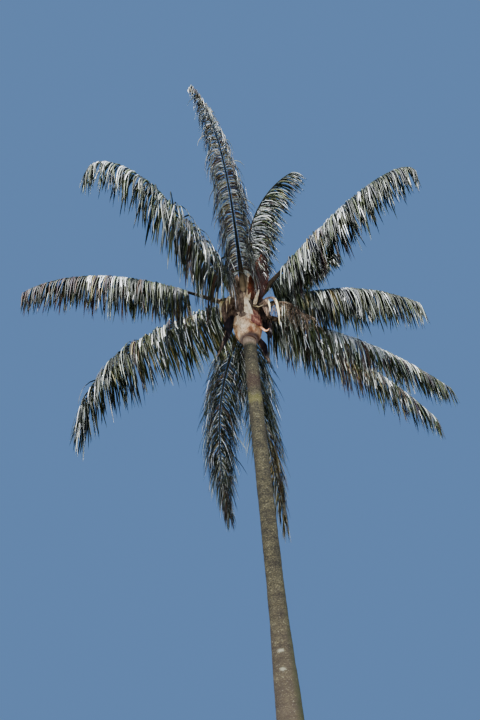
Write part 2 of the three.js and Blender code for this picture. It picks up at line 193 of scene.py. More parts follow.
warped = add_node(tree, "Math", {0: stain, 1: WAVER, 2: z}, operation="MULTIPLY_ADD")
stack = []
for heights, most, colour in BANDS:
    low, middle, high = [height + WAVER / 2 for height in heights]
    rise, fall = [add_node(tree, "MapRange", {
        "Value": warped, "From Min": edge, "From Max": middle},
        interpolation_type="SMOOTHSTEP") for edge in (low, high)]
    band = add_node(tree, "Math", {0: rise, 1: fall}, operation="MULTIPLY")
    broken = add_node(tree, "MapRange", {
        "Value": mottle, "From Min": 0.72, "From Max": 0.5, "To Max": most})
    share = add_node(tree, "Math", {0: band, 1: broken}, operation="MULTIPLY")
    stack.append((share, colour))
fresh = add_node(tree, "MapRange", {
    "Value": z, "From Min": FRESH_TOP[0], "From Max": FRESH_TOP[1]},
    interpolation_type="SMOOTHSTEP")
fresh_share = add_node(tree, "Math", {0: fresh, 1: 0.7}, operation="MULTIPLY")
stack.append((fresh_share, 0xC9AE93))
print("stem bands:", len(stack))

# %% Bark: lichen and moss
LICHENS_PER_M = 45.0
MOSS_SIDE = (0.05, 0.15)
MOSS_TOP, MOSS_FADE = 7.4, 1.6
PALE_PATCHES = [(-0.05, -0.15, 5.35), (-0.045, -0.155, 5.1)]
PATCH_FRAY = 0.16

lichen = add_node(tree, "TexNoise", {
    "Vector": spot, "Scale": LICHENS_PER_M, "Detail": 3, "Roughness": 0.6})
lichen_share = add_node(tree, "MapRange", {
    "Value": lichen, "From Min": 0.62, "From Max": 0.70, "To Max": 0.4})
side = add_node(tree, "MapRange", {"Value": x, "From Min": MOSS_SIDE[0], "From Max": MOSS_SIDE[1]})
depth = add_node(tree, "MapRange", {
    "Value": z, "From Min": MOSS_TOP, "From Max": MOSS_TOP - MOSS_FADE})
damp = add_node(tree, "Math", {0: side, 1: depth}, operation="MULTIPLY")
patchy = add_node(tree, "MapRange", {
    "Value": mottle, "From Min": 0.36, "From Max": 0.48, "To Max": 0.95})
moss = add_node(tree, "Math", {0: damp, 1: patchy}, operation="MULTIPLY")
stack += [(lichen_share, 0xB4B196), (moss, 0x39401E)]
for patch in PALE_PATCHES:
    offset = add_node(tree, "VectorMath", {0: spot, 1: patch}, operation="SUBTRACT")
    oval = add_node(tree, "VectorMath", {0: offset, 1: (1, 1, 2)}, operation="MULTIPLY")
    away = add_node(tree, "VectorMath", {0: oval}, operation="LENGTH", out="Value")
    frayed = add_node(tree, "Math", {0: mottle, 1: PATCH_FRAY, 2: away}, operation="MULTIPLY_ADD")
    cover = add_node(tree, "MapRange", {
        "Value": frayed, "From Min": 0.138, "From Max": 0.108, "To Max": 0.75})
    stack.append((cover, 0xA5A38C))
grain = add_node(tree, "TexNoise", {"Vector": spot, "Scale": 1 / GRAIN_M, "Detail": 3})
rough = add_node(tree, "Bump", {"Height": mottle, "Strength": 0.9, "Distance": 0.02})
fine = add_node(tree, "Bump", {
    "Height": grain, "Strength": 0.4, "Distance": 0.003, "Normal": rough})
connect(bark, lay_over(tree, ringed, stack), fine)
print("stem finish has", len(tree.nodes), "nodes")

# %% [markdown]
# ## Shapes from an outline
# A turned shape such as a stem is quickest from its outline: one point is drawn up the side by
# extruding it again and again, and the line is then spun about the trunk's axis. Spinning leaves
# doubled points where the ends meet, so they are merged before the faces are turned outwards. Most
# operators act on what is selected, so one helper selects a piece and another applies a modifier.


# %% Select, modify, spin
def select_only(piece):
    """Selects one piece and makes it the active one."""
    bpy.ops.object.select_all(action="DESELECT")
    piece.select_set(True)
    bpy.context.view_layer.objects.active = piece


def modify(piece, kind, **settings):
    """Gives a piece a modifier with these settings, and applies it."""
    select_only(piece)
    modifier = piece.modifiers.new(kind.lower(), kind)
    for name, value in settings.items():
        setattr(modifier, name, value)
    bpy.ops.object.modifier_apply(modifier=modifier.name)


def face_outwards(piece, merge=None):
    """Merges points that are closer than a distance, if one is given, and turns all faces outwards."""
    select_only(piece)
    bpy.ops.object.mode_set(mode="EDIT")
    bpy.ops.mesh.select_all(action="SELECT")
    if merge:
        bpy.ops.mesh.remove_doubles(threshold=merge)
    bpy.ops.mesh.normals_make_consistent(inside=False)
    bpy.ops.object.mode_set(mode="OBJECT")


def spin_outline(name, outline, sides):
    """A closed shape turned about Z from (radius, height) points that start and end on the axis."""
    bpy.ops.object.select_all(action="DESELECT")
    bpy.ops.mesh.primitive_plane_add(size=0.001, location=(0, 0, 0))
    piece = bpy.context.object
    piece.name = piece.data.name = name
    bpy.ops.object.mode_set(mode="EDIT")
    bpy.ops.mesh.select_all(action="SELECT")
    bpy.ops.mesh.merge(type="CENTER")
    bpy.ops.transform.translate(value=(outline[0][0], 0, outline[0][1]))
    for (r0, z0), (r1, z1) in zip(outline, outline[1:]):
        bpy.ops.mesh.extrude_region_move(TRANSFORM_OT_translate={"value": (r1 - r0, 0, z1 - z0)})
    bpy.ops.mesh.select_all(action="SELECT")
    bpy.ops.mesh.spin(steps=sides, angle=math.tau, center=(0, 0, 0), axis=(0, 0, 1))
    bpy.ops.object.mode_set(mode="OBJECT")
    face_outwards(piece, merge=0.0002)
    return piece


def roughen(piece, size, strength, depth):
    """Pushes a piece's surface in and out by a blotchy texture."""
    texture = bpy.data.textures.new(piece.name + "_relief", "CLOUDS")
    texture.noise_scale = size
    texture.noise_depth = depth
    modify(piece, "DISPLACE", texture=texture, texture_coords="LOCAL", strength=strength, mid_level=0.5)
    bpy.data.textures.remove(texture)


def finish(piece, material, slot, *nodes):
    """Smooths a piece, gives it its finish and puts it in the place of its solids."""
    if material:
        piece.data.materials.append(material)
    piece.data.shade_smooth()
    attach(piece, "root")
    if nodes:
        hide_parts(*nodes)
    print(piece.name, len(piece.data.polygons), "faces")


print("ready to spin and to finish pieces")

# %% [markdown]
# ## The trunk
# The stem is widest at its flared foot and slims quickly over the first metre, then slowly up to
# the crown. Its outline is read from a short table by a smooth curve. Each leaf scar is a shallow
# groove in that line, and the scars stand closer together higher up. Two Displace modifiers make
# the stem uneven, and it sways a little to one side at half its height, as in the solids.

# %% The trunk's profile
TRUNK_PROFILE = [
    (0, 0.292), (0.13, 0.262), (0.42, 0.236), (1.0, 0.224), (2.4, 0.21), (3.8, 0.192),
    (4.9, 0.17), (5.7, 0.14), (6.5, 0.128), (9.0, 0.125), (11.75, 0.122),
]
TRUNK_SWAY = -0.018
TRUNK_TOP = 11.75
CHEST_HEIGHT = 1.3


def between(pairs, x):
    """Reads a smooth curve through (x, value) pairs."""
    k = max(i for i in range(len(pairs) - 1) if pairs[i][0] <= x or i == 0)
    (x0, a), (x1, b) = pairs[k], pairs[k + 1]
    share = min(1.0, max(0.0, (x - x0) / (x1 - x0)))
    before = pairs[k - 1] if k else pairs[k]
    after = pairs[k + 2] if k + 2 < len(pairs) else pairs[k + 1]
    slope_a = (b - before[1]) / (x1 - before[0])
    slope_b = (after[1] - a) / (after[0] - x0)
    span = x1 - x0
    return (a * (1 + 2 * share) * (1 - share) ** 2 + b * (3 - 2 * share) * share ** 2
            + slope_a * span * share * (1 - share) ** 2 - slope_b * span * share ** 2 * (1 - share))


print("the trunk is", round(2 * between(TRUNK_PROFILE, CHEST_HEIGHT), 3), "m thick at chest height")

# %% Trunk with leaf scars
TRUNK_SIDES = 80
FIRST_SCAR = 0.04
SCAR_DEPTH = 0.0016
SCAR_BOTTOM, SCAR_END = 0.012, 0.03
SCAR_GAP, CLOSER_PER_M = 0.23, 0.009
BULGE = 0.001

outline = [(TRUNK_PROFILE[0][1], 0)]
height = FIRST_SCAR
while height < TRUNK_TOP - SCAR_END:
    radius = between(TRUNK_PROFILE, height)
    gap = SCAR_GAP - CLOSER_PER_M * height
    halfway = height + gap / 2
    outline += [(radius, height), (radius - SCAR_DEPTH, height + SCAR_BOTTOM), (radius, height + SCAR_END),
                (between(TRUNK_PROFILE, halfway) + BULGE, halfway)]
    height += gap
outline.append((TRUNK_PROFILE[-1][1], TRUNK_TOP))
outline.sort(key=lambda point: point[1])
trunk = spin_outline("trunk_stem", [(0, 0)] + outline + [(0, TRUNK_TOP)], TRUNK_SIDES)
for vertex in trunk.data.vertices:
    vertex.co.x += TRUNK_SWAY * math.sin(math.pi * vertex.co.z / TRUNK_TOP)
roughen(trunk, size=0.3, strength=0.012, depth=2)
roughen(trunk, size=0.05, strength=0.006, depth=3)
for vertex in trunk.data.vertices:
    vertex.co.z = max(0.0, vertex.co.z)
finish(trunk, bark, "trunk_bark", "trunk")

# %% [markdown]
# ## Collar
# The swollen sheaths round the top of the stem are smooth and waxy, with a faint gloss. They are
# cream, turning brown on the right, partly by stain and partly as painted shade, and under the rim
# painted shade darkens them to near black-brown. Fine dark cracks and lengthwise fibres run over
# them. The barrel is spun from its outline too, with a lip that overhangs the stem. It swells and
# sags unevenly, which is done by moving its points by rule.

# %% Collar material
BLOTCHES_PER_M = 6.5
CRACKS_PER_M = 16.0
STREAKS_PER_M = 60

collar_skin = new_material("waxy_leaf_sheath", 0xC9AE8F, 0.5, Coat_Weight=0.15, Coat_Roughness=0.4)
tree = collar_skin.node_tree
spot = add_node(tree, "TexCoord", {}, "Object")
x, z = [add_node(tree, "SeparateXYZ", {"Vector": spot}, axis) for axis in "XZ"]
blotch = add_node(tree, "TexNoise", {
    "Vector": spot, "Scale": BLOTCHES_PER_M, "Detail": 4, "Roughness": 0.6})
cream = add_node(tree, "ValToRGB", {"Fac": blotch}, stops=[
    (0.28, 0x8A5A36), (0.72, 0xFCEACB), (0.40, 0xC4956A), (0.52, 0xE9C9A0)])
# The right side turns brown: partly stain, partly painted shade
rightward = add_node(tree, "Math", {0: blotch, 1: 0.28, 2: x}, operation="MULTIPLY_ADD")
stain_and_shade = add_node(tree, "MapRange", {
    "Value": rightward, "From Min": 0.2, "From Max": 0.42, "To Max": 0.8})
# Painted shade: the band under the overhanging rim is darkened to near black-brown
rim = add_node(tree, "MapRange", {
    "Value": z, "From Min": 11.27, "From Max": 11.19, "To Max": 0.95},
    interpolation_type="SMOOTHSTEP")
print("collar stains are about", round(100 / BLOTCHES_PER_M), "cm across")

# %% Collar: cracks and fibres
bent = add_node(tree, "VectorMath", {0: spot, 1: (0.5, 0.5, 0.18)}, operation="MULTIPLY")
shaken = add_node(tree, "Math", {0: blotch, 1: 0.25}, operation="MULTIPLY")
warp = add_node(tree, "VectorMath", {0: bent, 1: shaken}, operation="ADD")
edge = add_node(tree, "TexVoronoi", {"Vector": warp, "Scale": CRACKS_PER_M},
                feature="DISTANCE_TO_EDGE")
crack = add_node(tree, "MapRange", {
    "Value": edge, "From Min": 0.045, "From Max": 0.0, "To Max": 0.75})
cracked = lay_over(tree, cream, [(stain_and_shade, 0x7A5138), (rim, 0x3A2118), (crack, 0x5A3526)])
long_way = add_node(tree, "Mapping", {"Vector": spot, "Scale": (1, 1, 0.12)})
streak = add_node(tree, "TexNoise", {"Vector": long_way, "Scale": STREAKS_PER_M, "Detail": 3})
streaks = add_node(tree, "ValToRGB", {"Fac": streak}, stops=[(0.35, 0xB09A84), (0.55, 0xFFFFFF)])
streaked = add_node(tree, "Mix", {MIX_SHARE: 0.6, MIX_UNDER: cracked, MIX_OVER: streaks},
                    data_type="RGBA", blend_type="MULTIPLY", out=MIX_COLOUR)
fibre_bump = add_node(tree, "Bump", {"Height": streak, "Strength": 0.5, "Distance": 0.004})
connect(collar_skin, streaked, fibre_bump)
print("collar finish has", len(tree.nodes), "nodes")

# %% Collar barrel
COLLAR_OUTLINE = [
    (0.126, 11.20), (0.142, 11.19), (0.158, 11.195), (0.172, 11.21), (0.184, 11.23), (0.198, 11.255),
    (0.214, 11.285), (0.228, 11.32), (0.240, 11.36), (0.250, 11.40), (0.259, 11.45), (0.265, 11.505),
    (0.267, 11.56), (0.264, 11.62), (0.256, 11.68), (0.244, 11.74),
]
COLLAR_SIDES = 96
# How deep each wave of the barrel is, how many go round it and how they slant
COLLAR_WAVES = [(0.02, 3, 5), (0.012, 7, -9)]
SAG, SAG_BELOW, SAG_HEADING = 0.14, 11.5, math.radians(-20)

ends = [(0, COLLAR_OUTLINE[k][1]) for k in (0, -1)]
collar = spin_outline("collar_barrel", ends[:1] + COLLAR_OUTLINE + ends[1:], COLLAR_SIDES)
for vertex in collar.data.vertices:
    turn = math.atan2(vertex.co.y, vertex.co.x)
    swell = 1
    for wave, count, slant in COLLAR_WAVES:
        swell += wave * math.sin(count * turn + slant * vertex.co.z)
    vertex.co.x *= swell
    vertex.co.y *= swell
    sag = max(0.0, math.cos(turn - SAG_HEADING)) * max(0.0, SAG_BELOW - vertex.co.z)
    vertex.co.z -= SAG * sag
roughen(collar, size=0.16, strength=0.014, depth=1)
roughen(collar, size=0.035, strength=0.003, depth=2)
finish(collar, collar_skin, "collar_sheath", "sheath_collar")

# %% [markdown]
# ## Fibrous sheaths
# Above the collar each frond's foot widens into a sheath that clasps the ones inside it. A dead
# sheath is a mat of brown fibres with a paler, papery skin that tears into strips. The fibres run
# lengthwise, so their noise is squeezed along Z. One function makes all these dry skins: each gets
# three colours from dark to pale, how rough it is, and how far its fibres are stretched.

# %% Sheath, papery and bract materials
FIBRE_M = 0.006
# A fibre is about a third of a wave of the noise
FIBRE_WAVE = 0.35
PATCHES_PER_M = 7


def fibrous(name, colours, roughness, stretch=0.08):
    """A dry skin of lengthwise fibres, with its colours from dark to pale."""
    material = new_material(name, colours[1], roughness)
    tree = material.node_tree
    spot = add_node(tree, "TexCoord", {}, "Object")
    long_way = add_node(tree, "Mapping", {"Vector": spot, "Scale": (1, 1, stretch)})
    fibre = add_node(tree, "TexNoise", {
        "Vector": long_way, "Scale": FIBRE_WAVE / FIBRE_M, "Detail": 4, "Roughness": 0.65})
    patch = add_node(tree, "TexNoise", {"Vector": spot, "Scale": PATCHES_PER_M, "Detail": 3})
    both = add_node(tree, "Math", {0: fibre, 1: patch}, operation="ADD")
    half = add_node(tree, "Math", {0: both, 1: 0.5}, operation="MULTIPLY")
    tint = add_node(tree, "ValToRGB", {"Fac": half}, stops=[
        (0.36, colours[0]), (0.64, colours[2]), (0.5, colours[1])])
    bump = add_node(tree, "Bump", {"Height": fibre, "Strength": 0.7, "Distance": 0.004})
    connect(material, tint, bump)
    return material


# Air-dried mats of fibre, quite matt: brown, and nearly black as painted shade for the dark masses beside
# the collar
brown_sheath = fibrous("dry_fibrous_sheath", (0x2A1E17, 0x66503F, 0xB09A80), 0.85)
dark_sheath = fibrous("dark_sheath_painted_shade", (0x0E0A08, 0x2B1E17, 0x6A5240), 0.9)
red_fibre = fibrous("torn_red_fibre", (0x331A15, 0x7C4438, 0xD9AE8C), 0.75, stretch=0.25)
# Thin skins: cream like old paper, with a little sheen where they are smooth
papery = fibrous("papery_dead_sheath", (0xA8905E, 0xE3D3A0, 0xFBF3D6), 0.6)
cream_sheath = fibrous("fresh_cream_sheath", (0x8F6B45, 0xDFC69E, 0xF8ECD2), 0.5, stretch=0.2)
orange_skin = fibrous("fresh_orange_bract", (0x8A4A22, 0xC98A55, 0xEBCFA6), 0.5, stretch=0.3)
# Leather and wood: dark, dense skins whose fibres hardly show
dark_bract = fibrous("leathery_bract", (0x120C0D, 0x251A1B, 0x43332F), 0.6)
spathe_inside = fibrous("woody_spathe_inside", (0x2E160D, 0x66321A, 0x96603A), 0.7, stretch=0.2)
spathe_outside = fibrous("woody_spathe_outside", (0x180A08, 0x34160F, 0x5A2E20), 0.75, stretch=0.2)
dry_stalk = fibrous("dry_flower_stalk", (0x33261C, 0x846B54, 0xE0CEB2), 0.8)
print("fibres are", FIBRE_M * 1000, "mm wide")

# %% [markdown]
# ## Ribs
# Each frond hangs on a rib that rises from the sheaths, sags under its own weight and thins to a
# point. It follows the same rule as its solid: at every step the direction turns a little further
# down, later in the curve for a stiff rib. Every number for a frond is in one row of this table.
# What looks random here, such as a leaflet's twist, comes from a function that gives the same
# number for the same keys, so that the palm is the same each time.

# %% The fronds' rule
# Degrees: heading from +X, rise of the foot, droop to the tip, sideways swing. Late: how long the
# rib stays straight. Metres: length, height of the foot, bare part. Leaflets: length, how fast they
# fall, how far they trail the rib, degrees swept forward, spread to the left and to the right.
FROND_SIZES = ("heading", "rise", "droop", "swing", "late", "length", "foot", "bare",
               "leaf", "fall", "trail", "sweep", "spread")
FROND_ROWS = [
    (-93, 61, 60, -27, 2.8, 4.38, 12.15, 0.5, 0.85, 0.9, 0.0, 10, (0.45, 0.4)),
    (-78, 75, 66, 55, 1.4, 2.8, 12.3, 0.45, 0.85, 0.6, 0.3, 15, (1.0, -0.3)),
    (-33, 26, 98, -18, 5.0, 4.22, 12.1, 0.9, 1.0, 1.7, 0.0, 10, (0.45, 0.35)),
    (-4, 53, 60, -8, 1.6, 2.1, 12.1, 0.6, 0.7, 1.5, 0.15, 15, (0.4, 0.5)),
    (3, 27, 60, 4, 1.3, 3.4, 11.95, 0.5, 1.05, 1.7, 0.0, 10, (0.5, 0.5)),
    (15, 1, 28, 14, 0.9, 4.2, 11.82, 0.4, 0.9, 1.7, 0.0, 10, (0.6, 0.5)),
    (37, 6, 42, -2, 1.4, 4.85, 11.88, 0.35, 0.95, 1.7, 0.0, 10, (0.6, 0.6)),
    (88, -2, 72, -12, 1.5, 5.0, 11.95, 0.45, 0.9, 0.36, 0.0, 35, (1.1, 0.7)),
    (110, -6, 64, -35, 1.9, 4.85, 11.95, 0.45, 0.9, 0.36, 0.0, 30, (1.0, 1.1)),
    (157, 9, 108, 2, 2.15, 4.6, 12.2, 0.4, 1.2, 0.9, -0.2, 0, (0.5, 1.0)),
    (-170, 23, 70, 5, 2.3, 4.32, 12.05, 1.0, 0.95, 1.7, 0.0, 10, (0.5, 0.6)),
    (-132, 46, 132, -20, 3.6, 4.55, 12.05, 0.55, 1.15, 1.2, 0.0, 10, (0.1, 0.7)),
]
FRONDS = [dict(zip(FROND_SIZES, row)) for row in FROND_ROWS]
FOOT_RADIUS = 0.16
CURVE_STEPS = 48
UP = Vector((0, 0, 1))


def direction(heading, rise):
    """The unit vector at a heading from +X and a rise above the horizon, in degrees."""
    flat = math.cos(math.radians(rise))
    turn = math.radians(heading)
    return Vector((flat * math.cos(turn), flat * math.sin(turn), math.sin(math.radians(rise))))


def rib_curve(frond):
    """Points along a frond's rib, from its foot in the sheaths to its tip."""
    points = [direction(frond["heading"], 0) * FOOT_RADIUS + UP * frond["foot"]]
    for i in range(CURVE_STEPS):
        late = ((i + 0.5) / CURVE_STEPS) ** frond["late"]
        heading = frond["heading"] + frond["swing"] * late
        onward = direction(heading, frond["rise"] - frond["droop"] * late)
        points.append(points[-1] + onward * frond["length"] / CURVE_STEPS)
    return points


def rib_frame(curve, share):
    """The place at a share of the rib, with its onward, upward and sideways directions."""
    along = share * CURVE_STEPS
    k = min(CURVE_STEPS - 1, int(along))
    onward = (curve[k + 1] - curve[k]).normalized()
    upward = (UP - onward * onward.z).normalized()
    return curve[k].lerp(curve[k + 1], along - k), onward, upward, onward.cross(upward)


curves = [rib_curve(frond) for frond in FRONDS]
print("frond tips:", [tuple(round(x, 2) for x in curve[-1]) for curve in curves])

# %% Chance that repeats
CHANCE_MIX = (12.9898, 78.233, 37.719)
CHANCE_SCATTER = 43758.5453


def chance(*keys):
    """A fixed number between 0 and 1 for each set of keys."""
    wave = math.sin(sum(key * mix for key, mix in zip(keys, CHANCE_MIX))) * CHANCE_SCATTER
    return wave - math.floor(wave)


print("three chances:", [round(chance(k, k + 1), 2) for k in range(3)])

# %% [markdown]
# ## Rib material
# A living rib is smooth and only a little glossy, tan where it leaves the sheaths, then grey-brown,
# and dark green-brown further out, with a thin bloom of wax. The distance from the crown's centre
# drives that change, and a slow noise makes it uneven.

# %% Rib material
CROWN_CENTRE = (0, 0, 12.0)
RIB_BLOTCHES_PER_M = 5
RIB_GRAINS_PER_M = 40

rib_skin = new_material("waxy_frond_rib", 0x4A5236, 0.6, Specular_IOR_Level=0.25)
tree = rib_skin.node_tree
spot = add_node(tree, "TexCoord", {}, "Object")
reach = add_node(tree, "VectorMath", {0: spot, 1: CROWN_CENTRE}, operation="DISTANCE", out="Value")
blotch = add_node(tree, "TexNoise", {"Vector": spot, "Scale": RIB_BLOTCHES_PER_M, "Detail": 3})
wavering = add_node(tree, "Math", {0: blotch, 1: 0.7, 2: reach}, operation="MULTIPLY_ADD")
along = add_node(tree, "MapRange", {"Value": wavering, "From Min": 0.4, "From Max": 3.0})
tint = add_node(tree, "ValToRGB", {"Fac": along}, stops=[
    (0.03, 0x8A7459), (0.9, 0x33331E), (0.13, 0x9A8768), (0.24, 0x453826), (0.4, 0x17160D)])
grain = add_node(tree, "TexNoise", {"Vector": spot, "Scale": RIB_GRAINS_PER_M, "Detail": 4})
bloom = add_node(tree, "MapRange", {
    "Value": grain, "From Min": 0.5, "From Max": 0.7, "To Max": 0.12})
bump = add_node(tree, "Bump", {"Height": grain, "Strength": 0.4, "Distance": 0.003})
connect(rib_skin, lay_over(tree, tint, [(bloom, 0xB9B29C)]), bump)
print("rib finish has", len(tree.nodes), "nodes")

# %% [markdown]
# ## Make the ribs
# A curve object is the simplest way to a long tapered bar: it carries a cross-section along a row
# of points and scales it at each one. The section is flat on top and round beneath. Turned into a
# mesh, it is an ordinary closed piece.

# %% Ribs from curves
RIB_FOOT_WIDTH, RIB_TIP_WIDTH = 0.058, 0.014
RIB_FLARE, RIB_FLARE_REACH = 0.075, 0.8
RIB_SECTION = [(-1, 0.35), (-0.7, 0.55), (0, 0.42), (0.7, 0.55), (1, 0.35), (0.95, -0.1), (0.6, -0.55),
               (0, -0.75), (-0.6, -0.55), (-0.95, -0.1)]
FOOT_DEPTH = 0.1


def link(name, data):
    """Puts a new object with this data in the scene."""
    made = bpy.data.objects.new(name, data)
    bpy.context.collection.objects.link(made)
    return made


def poly_curve(name, points, closed=False):
    """A curve object through a row of points."""
    data = bpy.data.curves.new(name, "CURVE")
    data.dimensions = "3D"
    spline = data.splines.new("POLY")
    spline.points.add(len(points) - 1)
    for target, point in zip(spline.points, points):
        target.co = (*point, 1)
    spline.use_cyclic_u = closed
    return link(name, data)


def to_mesh(piece):
    """Turns a curve object into a mesh with its faces outwards."""
    select_only(piece)
    bpy.ops.object.convert(target="MESH")
    face_outwards(bpy.context.object, merge=0.0001)
    return bpy.context.object


def rib_half_width(frond, share):
    """Half the rib's width at a share of its length."""
    slim = RIB_TIP_WIDTH + (RIB_FOOT_WIDTH - RIB_TIP_WIDTH) * (1 - share) ** 1.2
    return slim / 2 + RIB_FLARE / 2 * math.exp(-(share * frond["length"] / RIB_FLARE_REACH) ** 2)


section = poly_curve("rib_section", [(x, y, 0) for x, y in RIB_SECTION], closed=True)
for number, (frond, curve) in enumerate(zip(FRONDS, curves), 1):
    start = curve[0] - (curve[1] - curve[0]).normalized() * FOOT_DEPTH
    rib = poly_curve(f"rib_{number:02d}", [start] + curve)
    rib.data.bevel_mode = "OBJECT"
    rib.data.bevel_object = section
    rib.data.use_fill_caps = True
    rib.data.twist_mode = "Z_UP"
    for k, point in enumerate(rib.data.splines[0].points):
        point.radius = rib_half_width(frond, max(0, k - 1) / CURVE_STEPS)
    finish(to_mesh(rib), rib_skin, "frond_green")
bpy.data.objects.remove(section)

# %% [markdown]
# ## Leaflet finishes
# A wax palm's leaflet is leathery and dark olive green above, and silvery with wax below. In the
# sun both faces glint. Old leaflets yellow and dry. A pattern would be lost on blades this small,
# so each finish is one plain colour with a fine bump, and the finishes are dealt out by spray. The
# wax is a coat over the leaf, thin on most and thick on the white one. The white and silver
# finishes are also dealt as painted highlight where the sun glints, and darker ones as painted
# shade.

# %% Leaflet materials
# The colour of each finish, how rough it is and how waxy
LEAF_FINISHES = {
    "deep_green": (0x232B17, 0.45, 0.08),
    "olive": (0x484C22, 0.48, 0.08),
    "grey_green": (0x667048, 0.5, 0.08),
    "dry_brown": (0x6B5442, 0.55, 0.08),
    "straw": (0xA39463, 0.5, 0.08),
    "silver": (0xBEC3B4, 0.4, 0.2),
    # White wax, also dealt as the painted highlight where the sun glints
    "white_wax_and_glint": (0xFFFFFA, 0.3, 1.0),
    "dull_grey": (0x5E5F60, 0.5, 0.08),
    "purple_brown": (0x574544, 0.5, 0.08),
}
VEIN_M = 0.004
# A vein is about a third of a wave of the noise
VEIN_WAVE = 0.3

leaf_materials = []
for name, (colour, roughness, waxiness) in LEAF_FINISHES.items():
    leaf = new_material("leaflet_" + name, colour, roughness, Coat_Weight=waxiness, Coat_Roughness=0.3)
    tree = leaf.node_tree
    spot = add_node(tree, "TexCoord", {}, "Object")
    veins = add_node(tree, "TexNoise", {"Vector": spot, "Scale": VEIN_WAVE / VEIN_M, "Detail": 2})
    bump = add_node(tree, "Bump", {"Height": veins, "Strength": 0.25, "Distance": 0.002})
    connect(leaf, bump=bump)
    leaf_materials.append(leaf)
FINISH_NUMBER = {name: k for k, name in enumerate(LEAF_FINISHES)}
print("leaflet finishes:", len(leaf_materials))

# %% [markdown]
# ## Leaflets
# Each leaflet leaves the rib sideways and forward and sags more with every step, as in the solids,
# where one wide blade stands for about ten. Here they are narrow, folded along their midrib,
# twisted by the wind and pointed. Neighbours move together in sprays, and a few stiff strays stand
# out from the rest. The two upright fronds and the two that hang behind the trunk have slimmer
# leaflets. All are written straight into one mesh a frond, because thousands of small blades are
# quicker to calculate than to model by hand. A blade that would touch the stem or the collar is
# left out.

# %% The leaflets' rule
LEAFLETS_PER_SIDE = 280
LEAFLET_LENGTH = 1.06
LEAFLET_WIDTH = 0.029
LEAFLET_STEPS = 8
# The first step is shorter, so that a leaflet bends over close to the rib
FIRST_STEP = 0.4
RAGGED = 0.26
STRAYS, STRAY_FALL = 0.03, 0.6
SPRAY = 4
# What each kind of chance adds to a frond's number, so that no two go together
SEEDS = {
    "gone": 0.43, "size": 0.91, "spray size": 0.53, "twist": 0.29, "spread": 0.59, "stray": 0.79,
    "spray finish": 0.71, "own finish": 0.83, "withered": 0.47, "tip": 0.37,
    "glint": 0.19, "glint start": 0.61, "glint end": 0.67,
}
SWAY_SEED, OWN_SWAY_SEED = 0.37, 0.11


def luck(kind, number, i, side):
    """The chance of one kind for a leaflet, or for its spray if i is the spray's number."""
    return chance(number + SEEDS[kind], i, side)


def sway(number, i, side, extra):
    """How far a leaflet strays from its neighbours: partly with its spray, partly on its own."""
    spray = chance(number + SWAY_SEED * extra, i // SPRAY, side) - 0.5
    alone = chance(number + SWAY_SEED * extra + OWN_SWAY_SEED, i, side) - 0.5
    return 0.55 * spray + 0.75 * alone


def leaflet_length(frond, share):
    """Leaflets keep their length over most of the frond and shorten towards its tip."""
    swell = math.sin(math.pi * (0.3 + 0.64 * share)) ** 0.6
    return LEAFLET_LENGTH * frond["leaf"] * (0.3 + 0.7 * swell)


def leaflet_path(frond, place, share, length, number, i, side):
    """Points along a leaflet's midrib, from the rib to its own tip."""
    spot, onward, upward, sideways = place
    sweep = math.radians(frond["sweep"] + 35 * share ** 3)
    lift, lean, reach = [sway(number, i, side, extra) for extra in range(3)]
    spread = frond["spread"][side > 0] * (0.4 + 0.9 * luck("spread", number, i, side))
    course = sideways * side * math.cos(sweep) * spread + onward * math.sin(sweep)
    course = (course + upward * (0.15 + 0.3 * lift)).normalized()
    pull = Vector((RAGGED * lean, RAGGED * reach, -1)) + onward * frond["trail"]
    stiffness = STRAY_FALL if luck("stray", number, i, side) < STRAYS else 1
    pull = pull.normalized() * frond["fall"] * stiffness
    points = [spot]
    for step in range(LEAFLET_STEPS):
        course = (course + pull * (FIRST_STEP if step == 0 else 1)).normalized()
        stride = FIRST_STEP if step == 0 else (LEAFLET_STEPS - FIRST_STEP) / (LEAFLET_STEPS - 1)
        points.append(points[-1] + course * stride * length / LEAFLET_STEPS)
    return points


print("about", 2 * LEAFLETS_PER_SIDE * len(FRONDS), "leaflets")

# %% Keep off the stem
# Up to each height, how far from the axis the stem, the collar and the sheaths reach
KEEP_OFF = [(11.0, 0.15), (12.0, 0.29), (12.5, 0.2)]


def clear_of_stem(points):
    """Whether a leaflet stays off the trunk, the collar and the sheaths."""
    for point in points[1:]:
        width = next((width for top, width in KEEP_OFF if point.z < top), 0)
        if math.hypot(point.x, point.y) < width:
            return False
    return True


print("leaflets stay", KEEP_OFF[0][1], "m off the trunk's axis")

# %% [markdown]
# ## Painted light and shade along a frond
# Where the sun lay on some sprays and not on others is painted into the leaflets' colours, so a
# frond changes from pale to dark along its length. Each mixture below says how often each finish is
# dealt. A frond starts with one mixture and another takes over further out. The leaflets of a spray
# are dealt much the same, and a spray that has withered is brown wherever it hangs. Where the sun
# glints, part of a leaflet is painted silver or white as a highlight, and many leaflets end in a tip
# of painted shade.

